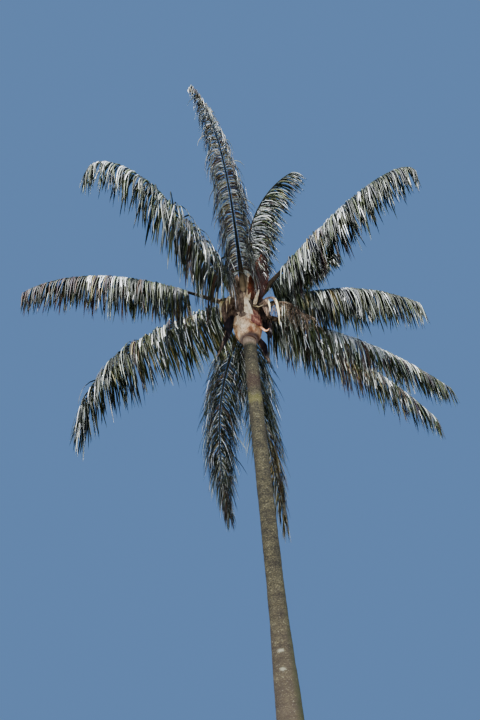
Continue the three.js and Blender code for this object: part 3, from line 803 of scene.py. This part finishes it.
# %% Mixtures of finishes
# UPPER and UNDER are the two faces' own colours, BROWN and DRY those of dry leaflets. The others also
# paint light and shade: SUNNY, BRIGHT and PALE are painted light, DARK, NIGHT and DUSK painted shade, and
# HAZY and SPLIT lie between.
UPPER = dict(deep_green=0.36, olive=0.26, dull_grey=0.14, grey_green=0.14, silver=0.07, white_wax_and_glint=0.03)
UNDER = dict(silver=0.16, white_wax_and_glint=0.08, dull_grey=0.22, grey_green=0.16, olive=0.16, deep_green=0.22)
BROWN = dict(dry_brown=0.35, purple_brown=0.3, dull_grey=0.2, straw=0.15)
DARK = dict(deep_green=0.5, olive=0.16, dull_grey=0.14, grey_green=0.1, silver=0.1)
PALE = dict(silver=0.34, dull_grey=0.24, purple_brown=0.16, straw=0.1, white_wax_and_glint=0.16)
DRY = dict(straw=0.3, dry_brown=0.25, silver=0.2, olive=0.15, deep_green=0.1)
HAZY = dict(dull_grey=0.3, grey_green=0.12, deep_green=0.38, purple_brown=0.12, silver=0.06,
            white_wax_and_glint=0.02)
SUNNY = dict(olive=0.32, straw=0.08, grey_green=0.18, deep_green=0.26, silver=0.1, white_wax_and_glint=0.06)
BRIGHT = dict(silver=0.26, white_wax_and_glint=0.12, grey_green=0.2, olive=0.14, deep_green=0.16,
              purple_brown=0.12)
NIGHT = dict(deep_green=0.62, olive=0.12, dull_grey=0.1, silver=0.08, white_wax_and_glint=0.08)
SPLIT = dict(deep_green=0.32, olive=0.18, dull_grey=0.18, grey_green=0.14, silver=0.08, white_wax_and_glint=0.1)
DUSK = dict(deep_green=0.42, purple_brown=0.24, dry_brown=0.14, olive=0.12, dull_grey=0.08)
# From what share of a frond each mixture is dealt, so that painted light and painted shade change along it
CHANGES = {
    1: [(0.0, PALE)],
    2: [(0.0, BRIGHT), (0.62, DARK)],
    3: [(0.0, HAZY), (0.35, DARK)],
    5: [(0.0, SUNNY), (0.25, DARK)],
    6: [(0.0, BRIGHT), (0.75, DARK)],
    7: [(0.0, SPLIT), (0.36, BROWN), (0.52, DARK)],
    8: [(0.0, DARK), (0.5, DRY)],
    9: [(0.0, NIGHT), (0.7, UNDER)],
    10: [(0.0, SUNNY), (0.45, DARK), (0.65, NIGHT)],
    11: [(0.0, DARK), (0.5, DUSK)],
    12: [(0.0, UNDER), (0.5, DARK)],
}
print("mixtures change on", len(CHANGES), "fronds")

# %% Deal out a mixture
# How many sprays of a frond have withered
WITHERED = {1: 0.15, 2: 0.1, 6: 0.12, 7: 0.15, 9: 0.15, 11: 0.22}
USUALLY_WITHERED = 0.05


def mixtures(number, share):
    """The mixtures of finishes for the two faces of a leaflet at a share of a frond."""
    above, below = UPPER, UNDER
    for place, mixture in CHANGES.get(number, []):
        if share >= place:
            above = below = mixture
    return above, below


def deal(mixture, roll):
    """The finish that a roll between 0 and 1 falls on."""
    for name, share in mixture.items():
        if roll < share:
            break
        roll -= share
    return FINISH_NUMBER[name]


print("a roll of 0.5 falls on finish", deal(UPPER, 0.5))

# %% Glints and tips
# For each frond, at what share of it a glint of the sun is painted, how far that reaches and how strongly
GLINTS = [
    (0.6, 0.5, 0.45), (0.3, 0.3, 1.4), (0.45, 0.25, 0.5), (0.5, 0.5, 0.3), (0.3, 0.3, 0.5),
    (0.42, 0.28, 1.6), (0.4, 0.4, 0.8), (0.85, 0.25, 0.5), (0.9, 0.15, 0.5), (0.3, 0.3, 0.5),
    (0.47, 0.09, 1.6), (0.8, 0.2, 0.45),
]
# The least chance of a painted glint, and how often a painted glint is white rather than silver
LEAST_GLINT = 0.04
WHITE_GLINTS = 0.6
# How many leaflets have the hanging half of their blade in painted shade
PAINTED_SHADE_TIPS = 0.6


def finishes_of(number, share, i, side, steps):
    """The finish of each face of a leaflet: its two upper rows of faces, then its two lower ones."""
    spray = luck("spray finish", number, i // SPRAY, side)
    alone = luck("own finish", number, i, side)
    together = luck("glint", number, i // SPRAY, side)
    above, below = mixtures(number + 1, share)
    if WITHERED.get(number + 1, USUALLY_WITHERED) > luck("withered", number, i // SPRAY, side):
        above = below = BROWN
    upper = deal(above, (spray + 0.4 * alone) % 1.0)
    under = deal(below, (spray + alone) % 1.0)
    # Painted shade: the hanging half of many leaflets is dealt from the darkest mixture
    tip = deal(NIGHT, alone) if luck("tip", number, i, side) < PAINTED_SHADE_TIPS else upper
    shown = [tip if 2 * k > steps else upper for k in range(steps)]
    # Painted highlight: where the sun glinted, a run of faces near the rib is painted white or silver
    centre, reach, strength = GLINTS[number]
    likely = LEAST_GLINT + strength * math.exp(-((share - centre) / reach) ** 2)
    if likely > 0.7 * together + 0.3 * alone:
        glint = FINISH_NUMBER["white_wax_and_glint" if together < WHITE_GLINTS * likely else "silver"]
        first = int(2 * luck("glint start", number, i, side))
        last = first + 1 + int(4 * luck("glint end", number, i, side) ** 2 + 0.5)
        shown[first:last] = [glint] * len(shown[first:last])
    return 2 * shown + 2 * steps * [under]


print("sprays of", SPRAY, "leaflets glint together")

# %% One blade
# How wide a leaflet is at each of its steps, as a share of its full width
WIDTH_SHARES = [0.0, 0.85, 0.97, 1.0, 0.96, 0.86, 0.68, 0.42, 0.0]
FOLD = 0.32
FLESH = 0.05


def blade(points, across, width, twist, vertices, faces):
    """Adds one folded, pointed leaflet: two faces above and two below at each step."""
    first = len(vertices)
    vertices.append(points[0])
    stations = len(points) - 2
    for k in range(1, stations + 1):
        onward = (points[k + 1] - points[k - 1]).normalized()
        level = (across - onward * across.dot(onward)).normalized()
        level = Matrix.Rotation(twist * k / stations, 3, onward) @ level
        ridge = onward.cross(level)
        half = width * WIDTH_SHARES[k] / 2
        crest = points[k] + ridge * half * FOLD * 2
        vertices.extend([points[k] + level * half, crest, points[k] - level * half,
                         crest - ridge * half * FLESH * 3])
    vertices.append(points[-1])
    last = len(vertices) - 1
    for j in range(4):
        n = (j + 1) % 4
        faces.append((first, first + 1 + n, first + 1 + j))
        for k in range(stations - 1):
            row = first + 1 + 4 * k
            faces.append((row + j, row + n, row + 4 + n, row + 4 + j))
        row = first + 1 + 4 * (stations - 1)
        faces.append((row + j, row + n, last))


print("a blade is about", LEAFLET_WIDTH * 1000, "mm wide")

# %% Grow the leaflets
# From what share of a frond its leaflets thin out, and how many are gone at its tip
THINNING = {1: (0.6, 0.0), 2: (0.35, 0.9), 6: (0.7, 0.4), 7: (0.7, 0.4), 9: (0.6, 0.0),
            11: (0.3, 0.7), 12: (0.2, 0.75)}
USUAL_THINNING = (0.6, 0.65)
# How many leaflets stand on each side, how narrow they are, and what share of their length they
# lose at the frond's very tip
SLIM = {1: (370, 0.72, 0.3), 2: (280, 0.85, 0.0), 8: (340, 0.8, 0.1), 9: (370, 0.75, 0.35)}
USUAL_BUILD = (LEAFLETS_PER_SIDE, 1.0, 0.0)
TWIST = math.radians(80)


def grow(number, frond, curve):
    """The vertices, faces and finishes of all the leaflets on one frond."""
    vertices, faces, finishes = [], [], []
    bare = frond["bare"] / frond["length"]
    thin_from, most_gone = THINNING.get(number + 1, USUAL_THINNING)
    count, narrow, lost = SLIM.get(number + 1, USUAL_BUILD)
    for i, side in [(i, side) for i in range(count) for side in (-1, 1)]:
        share = (i + 0.5) / count
        if luck("gone", number, i, side) < most_gone * (share - thin_from) / (1 - thin_from):
            continue
        along = bare + (1 - bare) * share
        spot, onward, upward, sideways = rib_frame(curve, along)
        uneven = (0.66 + 0.34 * luck("size", number, i, side)
                  + 0.2 * luck("spray size", number, i // SPRAY, side))
        length = leaflet_length(frond, share) * uneven * (1 - lost * share ** 6)
        root = spot + sideways * side * rib_half_width(frond, along) * 0.7
        path = leaflet_path(frond, (root, onward, upward, sideways), share, length, number, i, side)
        if not clear_of_stem(path):
            continue
        width = LEAFLET_WIDTH * narrow * (0.6 + 0.4 * length / LEAFLET_LENGTH)
        twist = TWIST * (luck("twist", number, i, side) - 0.5)
        start = len(faces)
        blade(path, onward * side, width, twist, vertices, faces)
        finishes.extend(finishes_of(number, share, i, side, (len(faces) - start) // 4))
    return vertices, faces, finishes


for number, (frond, curve) in enumerate(zip(FRONDS, curves)):
    vertices, faces, finishes = grow(number, frond, curve)
    mesh = bpy.data.meshes.new(f"leaflets_{number + 1:02d}")
    mesh.from_pydata([tuple(v) for v in vertices], [], faces)
    for leaf in leaf_materials:
        mesh.materials.append(leaf)
    mesh.polygons.foreach_set("material_index", finishes)
    finish(link(mesh.name, mesh), None, "frond_green", f"frond_{number + 1:02d}")

# %% [markdown]
# ## Clasping sheaths
# Below its rib every frond widens to a plate that wraps round the younger ones inside. A grid of
# points is laid on a cylinder whose radius follows the stack of sheaths and then leans out to meet
# the rib. Its edges droop and fray. Solidify gives the plate its thickness. Every other torn sheath
# is made from the same kind of grid, so one function turns a rule for its points into a mesh.

# %% Sheets from a grid
SHEET_M = 0.008


def one_finish(u, v):
    """The rule for a sheet with a single finish."""
    return 0


def sheet(name, rows, columns, place, materials, finish_of=one_finish):
    """A thick sheet: place and finish_of take u, -1 to 1 across it, and v, 0 to 1 along it."""
    grid = [(2 * column / columns - 1, row / rows)
            for row in range(rows + 1) for column in range(columns + 1)]
    corners = [row * (columns + 1) + column for row in range(rows) for column in range(columns)]
    mesh = bpy.data.meshes.new(name)
    mesh.from_pydata([tuple(place(u, v)) for u, v in grid], [],
                     [(a, a + 1, a + columns + 2, a + columns + 1) for a in corners])
    for material in materials:
        mesh.materials.append(material)
    mesh.polygons.foreach_set("material_index", [finish_of(*grid[a]) for a in corners])
    piece = link(name, mesh)
    modify(piece, "SOLIDIFY", thickness=SHEET_M, offset=0)
    modify(piece, "SUBSURF", levels=1, render_levels=1)
    face_outwards(piece)
    return piece


print("sheaths are", SHEET_M * 1000, "mm thick")

# %% Leaf-base plates
# Height and radius of the stack that the leaf bases make
STACK_PROFILE = [(11.6, 0.236), (11.75, 0.232), (11.95, 0.218), (12.15, 0.196), (12.35, 0.164),
                 (12.52, 0.118), (12.62, 0.06)]
STACK_TOP = 12.6
PLATE_BELOW, PLATE_ABOVE = 0.42, 0.3
PLATE_LOWEST = 11.62
# The plates lie over each other in three layers
PLATE_LIFT, PLATE_LAYER = 0.014, 0.004
PLATE_GRID = (16, 18)
HALF_AT_RIB, WIDER_BELOW = 0.06, 0.18
EDGE_FRAY, EDGE_DROOP, RAGGED_FOOT = 0.06, 0.1, 0.05


def clasping_place(number, frond, curve):
    """The rule for the wide sheath at the foot of one frond."""
    low = max(PLATE_LOWEST, frond["foot"] - PLATE_BELOW)
    heading = math.radians(frond["heading"])
    top = rib_frame(curve, PLATE_ABOVE / frond["length"])[0]

    def place(u, v):
        z = low + (top.z - low) * v
        hug = between(STACK_PROFILE, min(STACK_TOP, z)) + PLATE_LIFT + PLATE_LAYER * (number % 3)
        out = hug + (math.hypot(top.x, top.y) - 0.01 - hug) * v ** 1.8
        half = HALF_AT_RIB + WIDER_BELOW * (1 - v) ** 1.3
        fray = abs(u) ** 6 * (chance(number, u, v) - 0.5) * EDGE_FRAY * (1 - v)
        turn = heading + (u * half + fray) / out
        ragged = RAGGED_FOOT * (chance(number + 0.3, u) - 0.5) if v == 0 else 0
        edge = out + 0.008 * u * u * (1 - v)
        droop = EDGE_DROOP * u * u * (1 - v)
        return edge * math.cos(turn), edge * math.sin(turn), z - droop + ragged

    return place


for number, (frond, curve) in enumerate(zip(FRONDS, curves), 1):
    rule = clasping_place(number, frond, curve)
    plate = sheet(f"frond_sheath_{number:02d}", *PLATE_GRID, rule, [brown_sheath])
    finish(plate, None, "brown_sheath")

# %% Core of the leaf bases
CORE_SIDES = 48
CORE_BOTTOM, CORE_TOP = 11.7, 12.64
# The core stays a little inside the plates
CORE_INSET = 0.004

core_outline = [(radius - CORE_INSET, height) for height, radius in STACK_PROFILE[1:]]
core = spin_outline("leaf_base_core", [(0, CORE_BOTTOM)] + core_outline + [(0, CORE_TOP)], CORE_SIDES)
modify(core, "SUBSURF", subdivision_type="SIMPLE", levels=2, render_levels=2)
roughen(core, size=0.05, strength=0.02, depth=2)
finish(core, brown_sheath, "brown_sheath", "leaf_base_stack")

# %% [markdown]
# ## Torn tongues on the collar
# The upper rim of the collar is not a clean edge: each sheath ends in a torn tongue. Some are still
# cream, one on the right has weathered to reddish brown fibres. They lie on the barrel and follow
# its outline a little further out.

# %% Tongues that hug the collar
# The heading and half of the turn in degrees, the heights of foot and top, how far the tongue lifts
# off the collar, how much its top slants, and its finish
TONGUES = [
    ("cream_left", -140, 26, 11.50, 11.82, 0.006, -0.05, collar_skin),
    ("tan_front_left", -106, 18, 11.56, 11.84, 0.010, -0.03, brown_sheath),
    ("cream_front", -84, 20, 11.46, 11.76, 0.006, 0.03, collar_skin),
    ("red_right", -46, 30, 11.38, 11.78, 0.014, 0.04, red_fibre),
    ("brown_far_right", 8, 30, 11.42, 11.82, 0.010, -0.05, brown_sheath),
    ("tan_back_right", 62, 28, 11.46, 11.84, 0.008, 0.04, collar_skin),
    ("brown_back", 112, 28, 11.44, 11.82, 0.012, -0.04, brown_sheath),
    ("cream_back_left", 168, 26, 11.46, 11.82, 0.008, 0.03, collar_skin),
]
RIM_TOP = (11.86, 0.226)
COLLAR_RADII = [(height, radius) for radius, height in COLLAR_OUTLINE[3:]] + [RIM_TOP]
TONGUE_GRID = (12, 14)
TOOTH, NICK = 0.09, 0.03


def tongue_place(key, heading, half_turn, foot, top, lift, slant):
    """The rule for a torn tongue of sheath that lies on the collar."""
    def place(u, v):
        torn = TOOTH * (chance(key, round(3 * u)) - 0.5) + NICK * (chance(key + 0.4, u) - 0.5)
        low = foot + 0.06 * u * u + 0.02 * (chance(key + 0.7, u) - 0.5)
        z = low + (top + torn + slant * u - low) * v
        out = between(COLLAR_RADII, min(RIM_TOP[0] - 0.01, z)) + lift + 0.012 * v ** 2
        turn = math.radians(heading + half_turn * u * (1 - 0.25 * v))
        return out * math.cos(turn), out * math.sin(turn), z

    return place


for key, (name, *sizes, skin) in enumerate(TONGUES):
    tongue = sheet("tongue_" + name, *TONGUE_GRID, tongue_place(key, *sizes), [skin])
    finish(tongue, None, "collar_sheath" if skin is collar_skin else "brown_sheath")

# %% [markdown]
# ## Bracts and dead strips
# Old sheaths, the bracts of the flower stalks and one woody spathe hang round the collar. Each is
# a pointed blade along a short path, cupped across, a little ruffled at its edges, and thin. The
# strips are brown where they leave the stack and papery where they hang, the dead sheaths darken
# further down, and the spathe shows its orange-brown inside on a third of its width. Three cream
# sheaths stand at the collar's front, and older ones hang round the bud. A blade that has a solid
# bears its name and takes its place.


# %% Finishes along a blade
def strip_finish(u, v):
    """Brown at the foot, papery where the strip hangs."""
    return int(v > 0.62 + 0.08 * u)


def dead_finish(u, v):
    """Brown at the foot, dark as leather below."""
    return int(v > 0.35 + 0.25 * u)


def bract_finish(u, v):
    """Dark, with a brown tip and one brown edge."""
    return int(v > 0.8 - 0.1 * u or u > 0.7)


def spathe_finish(u, v):
    """The inside along one edge, the outside on the rest."""
    return int(u > -0.35 + 0.3 * math.sin(7 * v))


# The finishes of a kind of blade, the rule that deals them out, its slot and how frayed it is
KINDS = {
    "strip": ([brown_sheath, papery], strip_finish, "pale_sheath", 1),
    "dead": ([brown_sheath, dark_bract], dead_finish, "brown_sheath", 3),
    "bract": ([dark_bract, brown_sheath], bract_finish, "dark_bract", 1),
    "spathe": ([spathe_inside, spathe_outside], spathe_finish, "brown_spathe", 1),
    "curl": ([orange_skin], one_finish, "pale_sheath", 1),
    # Nearly black sheaths whose colour is painted shade
    "shade": ([dark_sheath], one_finish, "brown_sheath", 3),
    "old": ([brown_sheath], one_finish, "brown_sheath", 2),
    "warm": ([cream_sheath], one_finish, "pale_sheath", 1),
    "cream": ([papery], one_finish, "pale_sheath", 1),
}
print("kinds of blades:", len(KINDS))

# %% The blades' sizes
# The kind and name, the width, where the root lies on the swell from 0 at one point to 1 at the
# other, how deep the blade is cupped, where it faces and the path it follows
BLADES = [
    ("bract", "bract_left", 0.15, 0.18, 0.12, (0, -1, 0),
     [(-0.12, 0, 11.92), (-0.3, 0, 11.72), (-0.39, -0.01, 11.4), (-0.62, -0.02, 10.85)]),
    ("bract", "bract_right", 0.13, 0.18, 0.1, (0, -1, 0),
     [(0.12, 0.14, 11.42), (0.24, 0.225, 11.28), (0.28, 0.225, 11.08), (0.335, 0.205, 10.72)]),
    ("spathe", "spathe", 0.38, 0.06, 0.16, (-0.1, -0.7, -0.7),
     [(0.1, -0.13, 11.96), (0.22, -0.32, 12.15), (0.31, -0.415, 12.4), (0.37, -0.48, 12.65),
      (0.42, -0.54, 12.96)]),
    ("curl", "bract_curl", 0.05, 0.18, 0.1, (0, -1, 0),
     [(0.15, -0.07, 11.5), (0.25, -0.14, 11.35), (0.3, -0.158, 11.265), (0.35, -0.162, 11.25),
      (0.395, -0.16, 11.31)]),
    ("cream", "sheath_hook", 0.06, 0.18, 0.1, (0, -0.6, 0.8),
     [(0.08, -0.14, 11.86), (0.16, -0.24, 11.85), (0.24, -0.275, 11.775), (0.33, -0.262, 11.83)]),
    ("dead", "dead_sheath_left", 0.17, 0.18, 0.1, (0.2, -1, 0),
     [(-0.11, -0.1, 11.9), (-0.28, -0.11, 11.79), (-0.365, -0.11, 11.52), (-0.365, -0.1, 11.18)]),
    ("dead", "dead_sheath_right", 0.22, 0.18, 0.1, (-0.2, -1, 0),
     [(0.15, 0.02, 11.69), (0.28, 0.02, 11.655), (0.375, 0.035, 11.49), (0.41, 0.04, 11.225)]),
    ("strip", "strip_left", 0.105, 0.18, 0.08, (0.2, -1, 0),
     [(-0.1, -0.05, 11.9), (-0.28, -0.15, 12.08), (-0.4, -0.2, 12.14), (-0.47, -0.2, 12.0),
      (-0.49, -0.2, 11.55)]),
    ("strip", "strip_left_curl", 0.055, 0.18, 0.08, (0.3, -1, 0),
     [(-0.09, -0.14, 11.85), (-0.2, -0.27, 12.03), (-0.285, -0.305, 12.08),
      (-0.305, -0.305, 11.88)]),
    ("strip", "strip_right", 0.062, 0.18, 0.08, (-0.2, -1, 0),
     [(0.1, -0.08, 11.88), (0.3, -0.2, 11.95), (0.46, -0.245, 12.02), (0.57, -0.26, 11.93),
      (0.6, -0.26, 11.6), (0.58, -0.26, 11.27)]),
    ("strip", "strip_right_short", 0.052, 0.18, 0.08, (-0.2, -1, 0),
     [(0.11, -0.12, 11.8), (0.28, -0.28, 11.85), (0.4, -0.33, 11.87), (0.44, -0.33, 11.76),
      (0.44, -0.33, 11.56)]),
    ("warm", "front_triangle", 0.25, 0.75, 0.02, (0, -1, 0),
     [(0.03, -0.25, 11.56), (0.03, -0.28, 11.72), (0.02, -0.3, 11.9), (-0.01, -0.31, 12.16)]),
    ("warm", "front_split", 0.075, 0.3, 0.05, (0, -1, 0),
     [(0.17, -0.28, 11.84), (0.22, -0.31, 12.0), (0.29, -0.36, 12.16)]),
    ("warm", "front_fold", 0.085, 0.4, 0.2, (0, -1, -0.4),
     [(0.05, -0.25, 12.0), (0.085, -0.3, 12.2), (0.11, -0.38, 12.5), (0.13, -0.46, 12.85)]),
    # Sheaths of painted shade: nearly black masses beside the collar
    ("shade", "old_sheath_right", 0.24, 0.3, 0.1, (-0.2, -1, 0),
     [(0.16, 0.06, 12.02), (0.3, 0.05, 11.93), (0.4, 0.05, 11.7), (0.42, 0.05, 11.3)]),
    ("shade", "old_sheath_inner_right", 0.2, 0.3, 0.1, (-0.2, -1, 0),
     [(0.12, -0.1, 12.1), (0.24, -0.12, 12.06), (0.31, -0.12, 11.88), (0.33, -0.11, 11.5)]),
    ("shade", "old_sheath_left", 0.22, 0.3, 0.1, (0.2, -1, 0),
     [(-0.14, 0.02, 12.05), (-0.27, 0.02, 12.0), (-0.38, 0.02, 11.8), (-0.4, 0.03, 11.35)]),
    ("old", "old_fringe_left", 0.22, 0.3, 0.1, (0.2, -1, 0),
     [(-0.13, -0.15, 12.02), (-0.28, -0.21, 12.03), (-0.39, -0.24, 11.84), (-0.43, -0.24, 11.48)]),
    ("warm", "torn_strip_left", 0.05, 0.3, 0.08, (0.3, -1, 0),
     [(-0.12, -0.18, 12.0), (-0.25, -0.28, 12.1), (-0.345, -0.32, 12.0), (-0.37, -0.32, 11.66)]),
    ("old", "old_fringe_right", 0.17, 0.3, 0.1, (-0.2, -1, 0),
     [(0.14, -0.16, 11.98), (0.27, -0.24, 11.96), (0.36, -0.27, 11.78), (0.38, -0.27, 11.5)]),
    ("old", "old_sheath_high", 0.26, 0.35, 0.12, (0.1, -1, -0.3),
     [(-0.1, -0.1, 12.1), (-0.14, -0.17, 12.35), (-0.16, -0.26, 12.62), (-0.15, -0.36, 12.95)]),
]
print("blades round the bud:", len(BLADES))

# %% Blades along their paths
BLADE_GRID = (28, 8)
NARROWEST = 0.02
RUFFLE, TORN_EDGE = 0.08, 0.07
LOOK_AROUND = 0.02


def smooth_point(path, share):
    """A point on the smooth curve through a short path."""
    along = share * (len(path) - 1)
    k = min(len(path) - 2, int(along))
    t = along - k
    p1, p2 = Vector(path[k]), Vector(path[k + 1])
    p0 = Vector(path[k - 1]) if k else 2 * p1 - p2
    p3 = Vector(path[k + 2]) if k + 2 < len(path) else 2 * p2 - p1
    return 0.5 * (2 * p1 + (p2 - p0) * t + (2 * p0 - 5 * p1 + 4 * p2 - p3) * t ** 2
                  + (3 * p1 - p0 - 3 * p2 + p3) * t ** 3)


def blade_place(key, most, root, cup, facing, path, frayed):
    """The rule for a pointed, cupped blade along its path, at most this wide."""
    face = Vector(facing).normalized()

    def place(u, v):
        ahead = smooth_point(path, min(1, v + LOOK_AROUND))
        behind = smooth_point(path, max(0, v - LOOK_AROUND))
        onward = (ahead - behind).normalized()
        across = onward.cross(face).normalized()
        front = across.cross(onward).normalized()
        full = max(NARROWEST, math.sin(math.pi * (root + (1 - root) * v)))
        width = most * full ** 0.7
        ruffle = RUFFLE * width * math.sin(v * 17 + 2 * key + u * 2) * abs(u)
        ragged = TORN_EDGE * frayed * width * (chance(key, u, v) - 0.5) * (abs(u) == 1)
        hollow = cup * width * (1 - u * u) - ruffle
        return smooth_point(path, v) + across * (u * width / 2 + ragged) - front * hollow

    return place


for key, (kind, name, *sizes) in enumerate(BLADES):
    skins, finish_of, slot, frayed = KINDS[kind]
    rule = blade_place(key, *sizes, frayed)
    piece = sheet("dry_" + name, *BLADE_GRID, rule, skins, finish_of)
    finish(piece, None, slot, *([name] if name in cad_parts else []))

# %% [markdown]
# ## Flower stalk
# A dead flower stalk hangs out on the right, with a tangle of wiry branchlets. Each is a thin
# curve with a round bevel, and all are joined into one mesh.

# %% Stalk and branchlets
STALK_PATH = [(0.08, 0, 11.78), (0.33, -0.04, 11.86), (0.55, -0.12, 11.98), (0.8, -0.2, 11.88),
              (0.95, -0.22, 11.66), (1.2, -0.24, 11.36)]
STALK_STEPS = 24
STALK_RADII = (0.02, 0.005)
BRANCHLETS = 110
BRANCHLET_RADII = (0.0045, 0.002)
BRANCHLET_STEPS, BRANCHLET_STEP_M = 8, 0.055
KINK, PULL = 0.5, Vector((0, 0, -0.35))


def wire(name, points, foot, tip):
    """A thin round wire that tapers from foot to tip."""
    made = poly_curve(name, points)
    made.data.bevel_depth = 1
    made.data.bevel_resolution = 1
    made.data.use_fill_caps = True
    for k, point in enumerate(made.data.splines[0].points):
        point.radius = foot + (tip - foot) * k / (len(points) - 1)
    return to_mesh(made)


stalk_points = [smooth_point(STALK_PATH, k / STALK_STEPS) for k in range(STALK_STEPS + 1)]
wires = [wire("stalk", stalk_points, *STALK_RADII)]
for i in range(BRANCHLETS):
    points = [smooth_point(STALK_PATH, 0.3 + 0.7 * (i + 0.5) / BRANCHLETS)]
    course = direction(360 * chance(i, 3, 5), -20 - 25 * chance(i, 7, 2))
    for k in range(BRANCHLET_STEPS):
        kink = Vector([chance(i, k, axis) - 0.5 for axis in (1, 2, 3)]) * KINK
        course = (course + PULL + kink).normalized()
        points.append(points[-1] + course * BRANCHLET_STEP_M)
    wires.append(wire(f"branchlet_{i}", points, *BRANCHLET_RADII))
select_only(wires[0])
for piece in wires:
    piece.select_set(True)
bpy.ops.object.join()
stalk = bpy.context.object
stalk.name = stalk.data.name = "dead_flower_stalk"
finish(stalk, dry_stalk, "dry_stalk", "flower_stalk")

# %% [markdown]
# ## Floor and light
# A plain pale floor and simple studio light show the palm from every side. The key light stands
# high in front of the palm, as the sun did, and is small, so that the leaflets glint and cast crisp
# shadows. A weak, broad one beside it softens them, and the blue world gives an even fill.

# %% Floor, lights and world
FLOOR_M = 60
# Degrees from straight above, degrees turned about Z, the strength, and how many degrees wide
SUNS = {"key_light": (33, -4, 6.6, 4), "fill_light": (28, 40, 0.8, 20)}
WORLD_BLUE, WORLD_STRENGTH = 0x7394C4, 0.75

bpy.ops.object.select_all(action="DESELECT")
bpy.ops.mesh.primitive_plane_add(size=FLOOR_M, location=(0, 0, 0))
floor = bpy.context.object
floor.name = "studio_floor"
floor.data.materials.append(new_material("pale_matt_paint", 0xD9D7D2, 0.9))

for name, (tilt, turn, strength, breadth) in SUNS.items():
    bpy.ops.object.light_add(type="SUN", rotation=(math.radians(tilt), 0, math.radians(turn)))
    sun = bpy.context.object
    sun.name = name
    sun.data.energy = strength
    sun.data.angle = math.radians(breadth)

world = bpy.data.worlds.new("studio")
bpy.context.scene.world = world
world.use_nodes = True
background = world.node_tree.nodes["Background"]
background.inputs["Color"].default_value = linear(WORLD_BLUE)
background.inputs["Strength"].default_value = WORLD_STRENGTH
bpy.context.scene.view_settings.look = "AgX - Medium High Contrast"
print("lights:", ", ".join(SUNS))
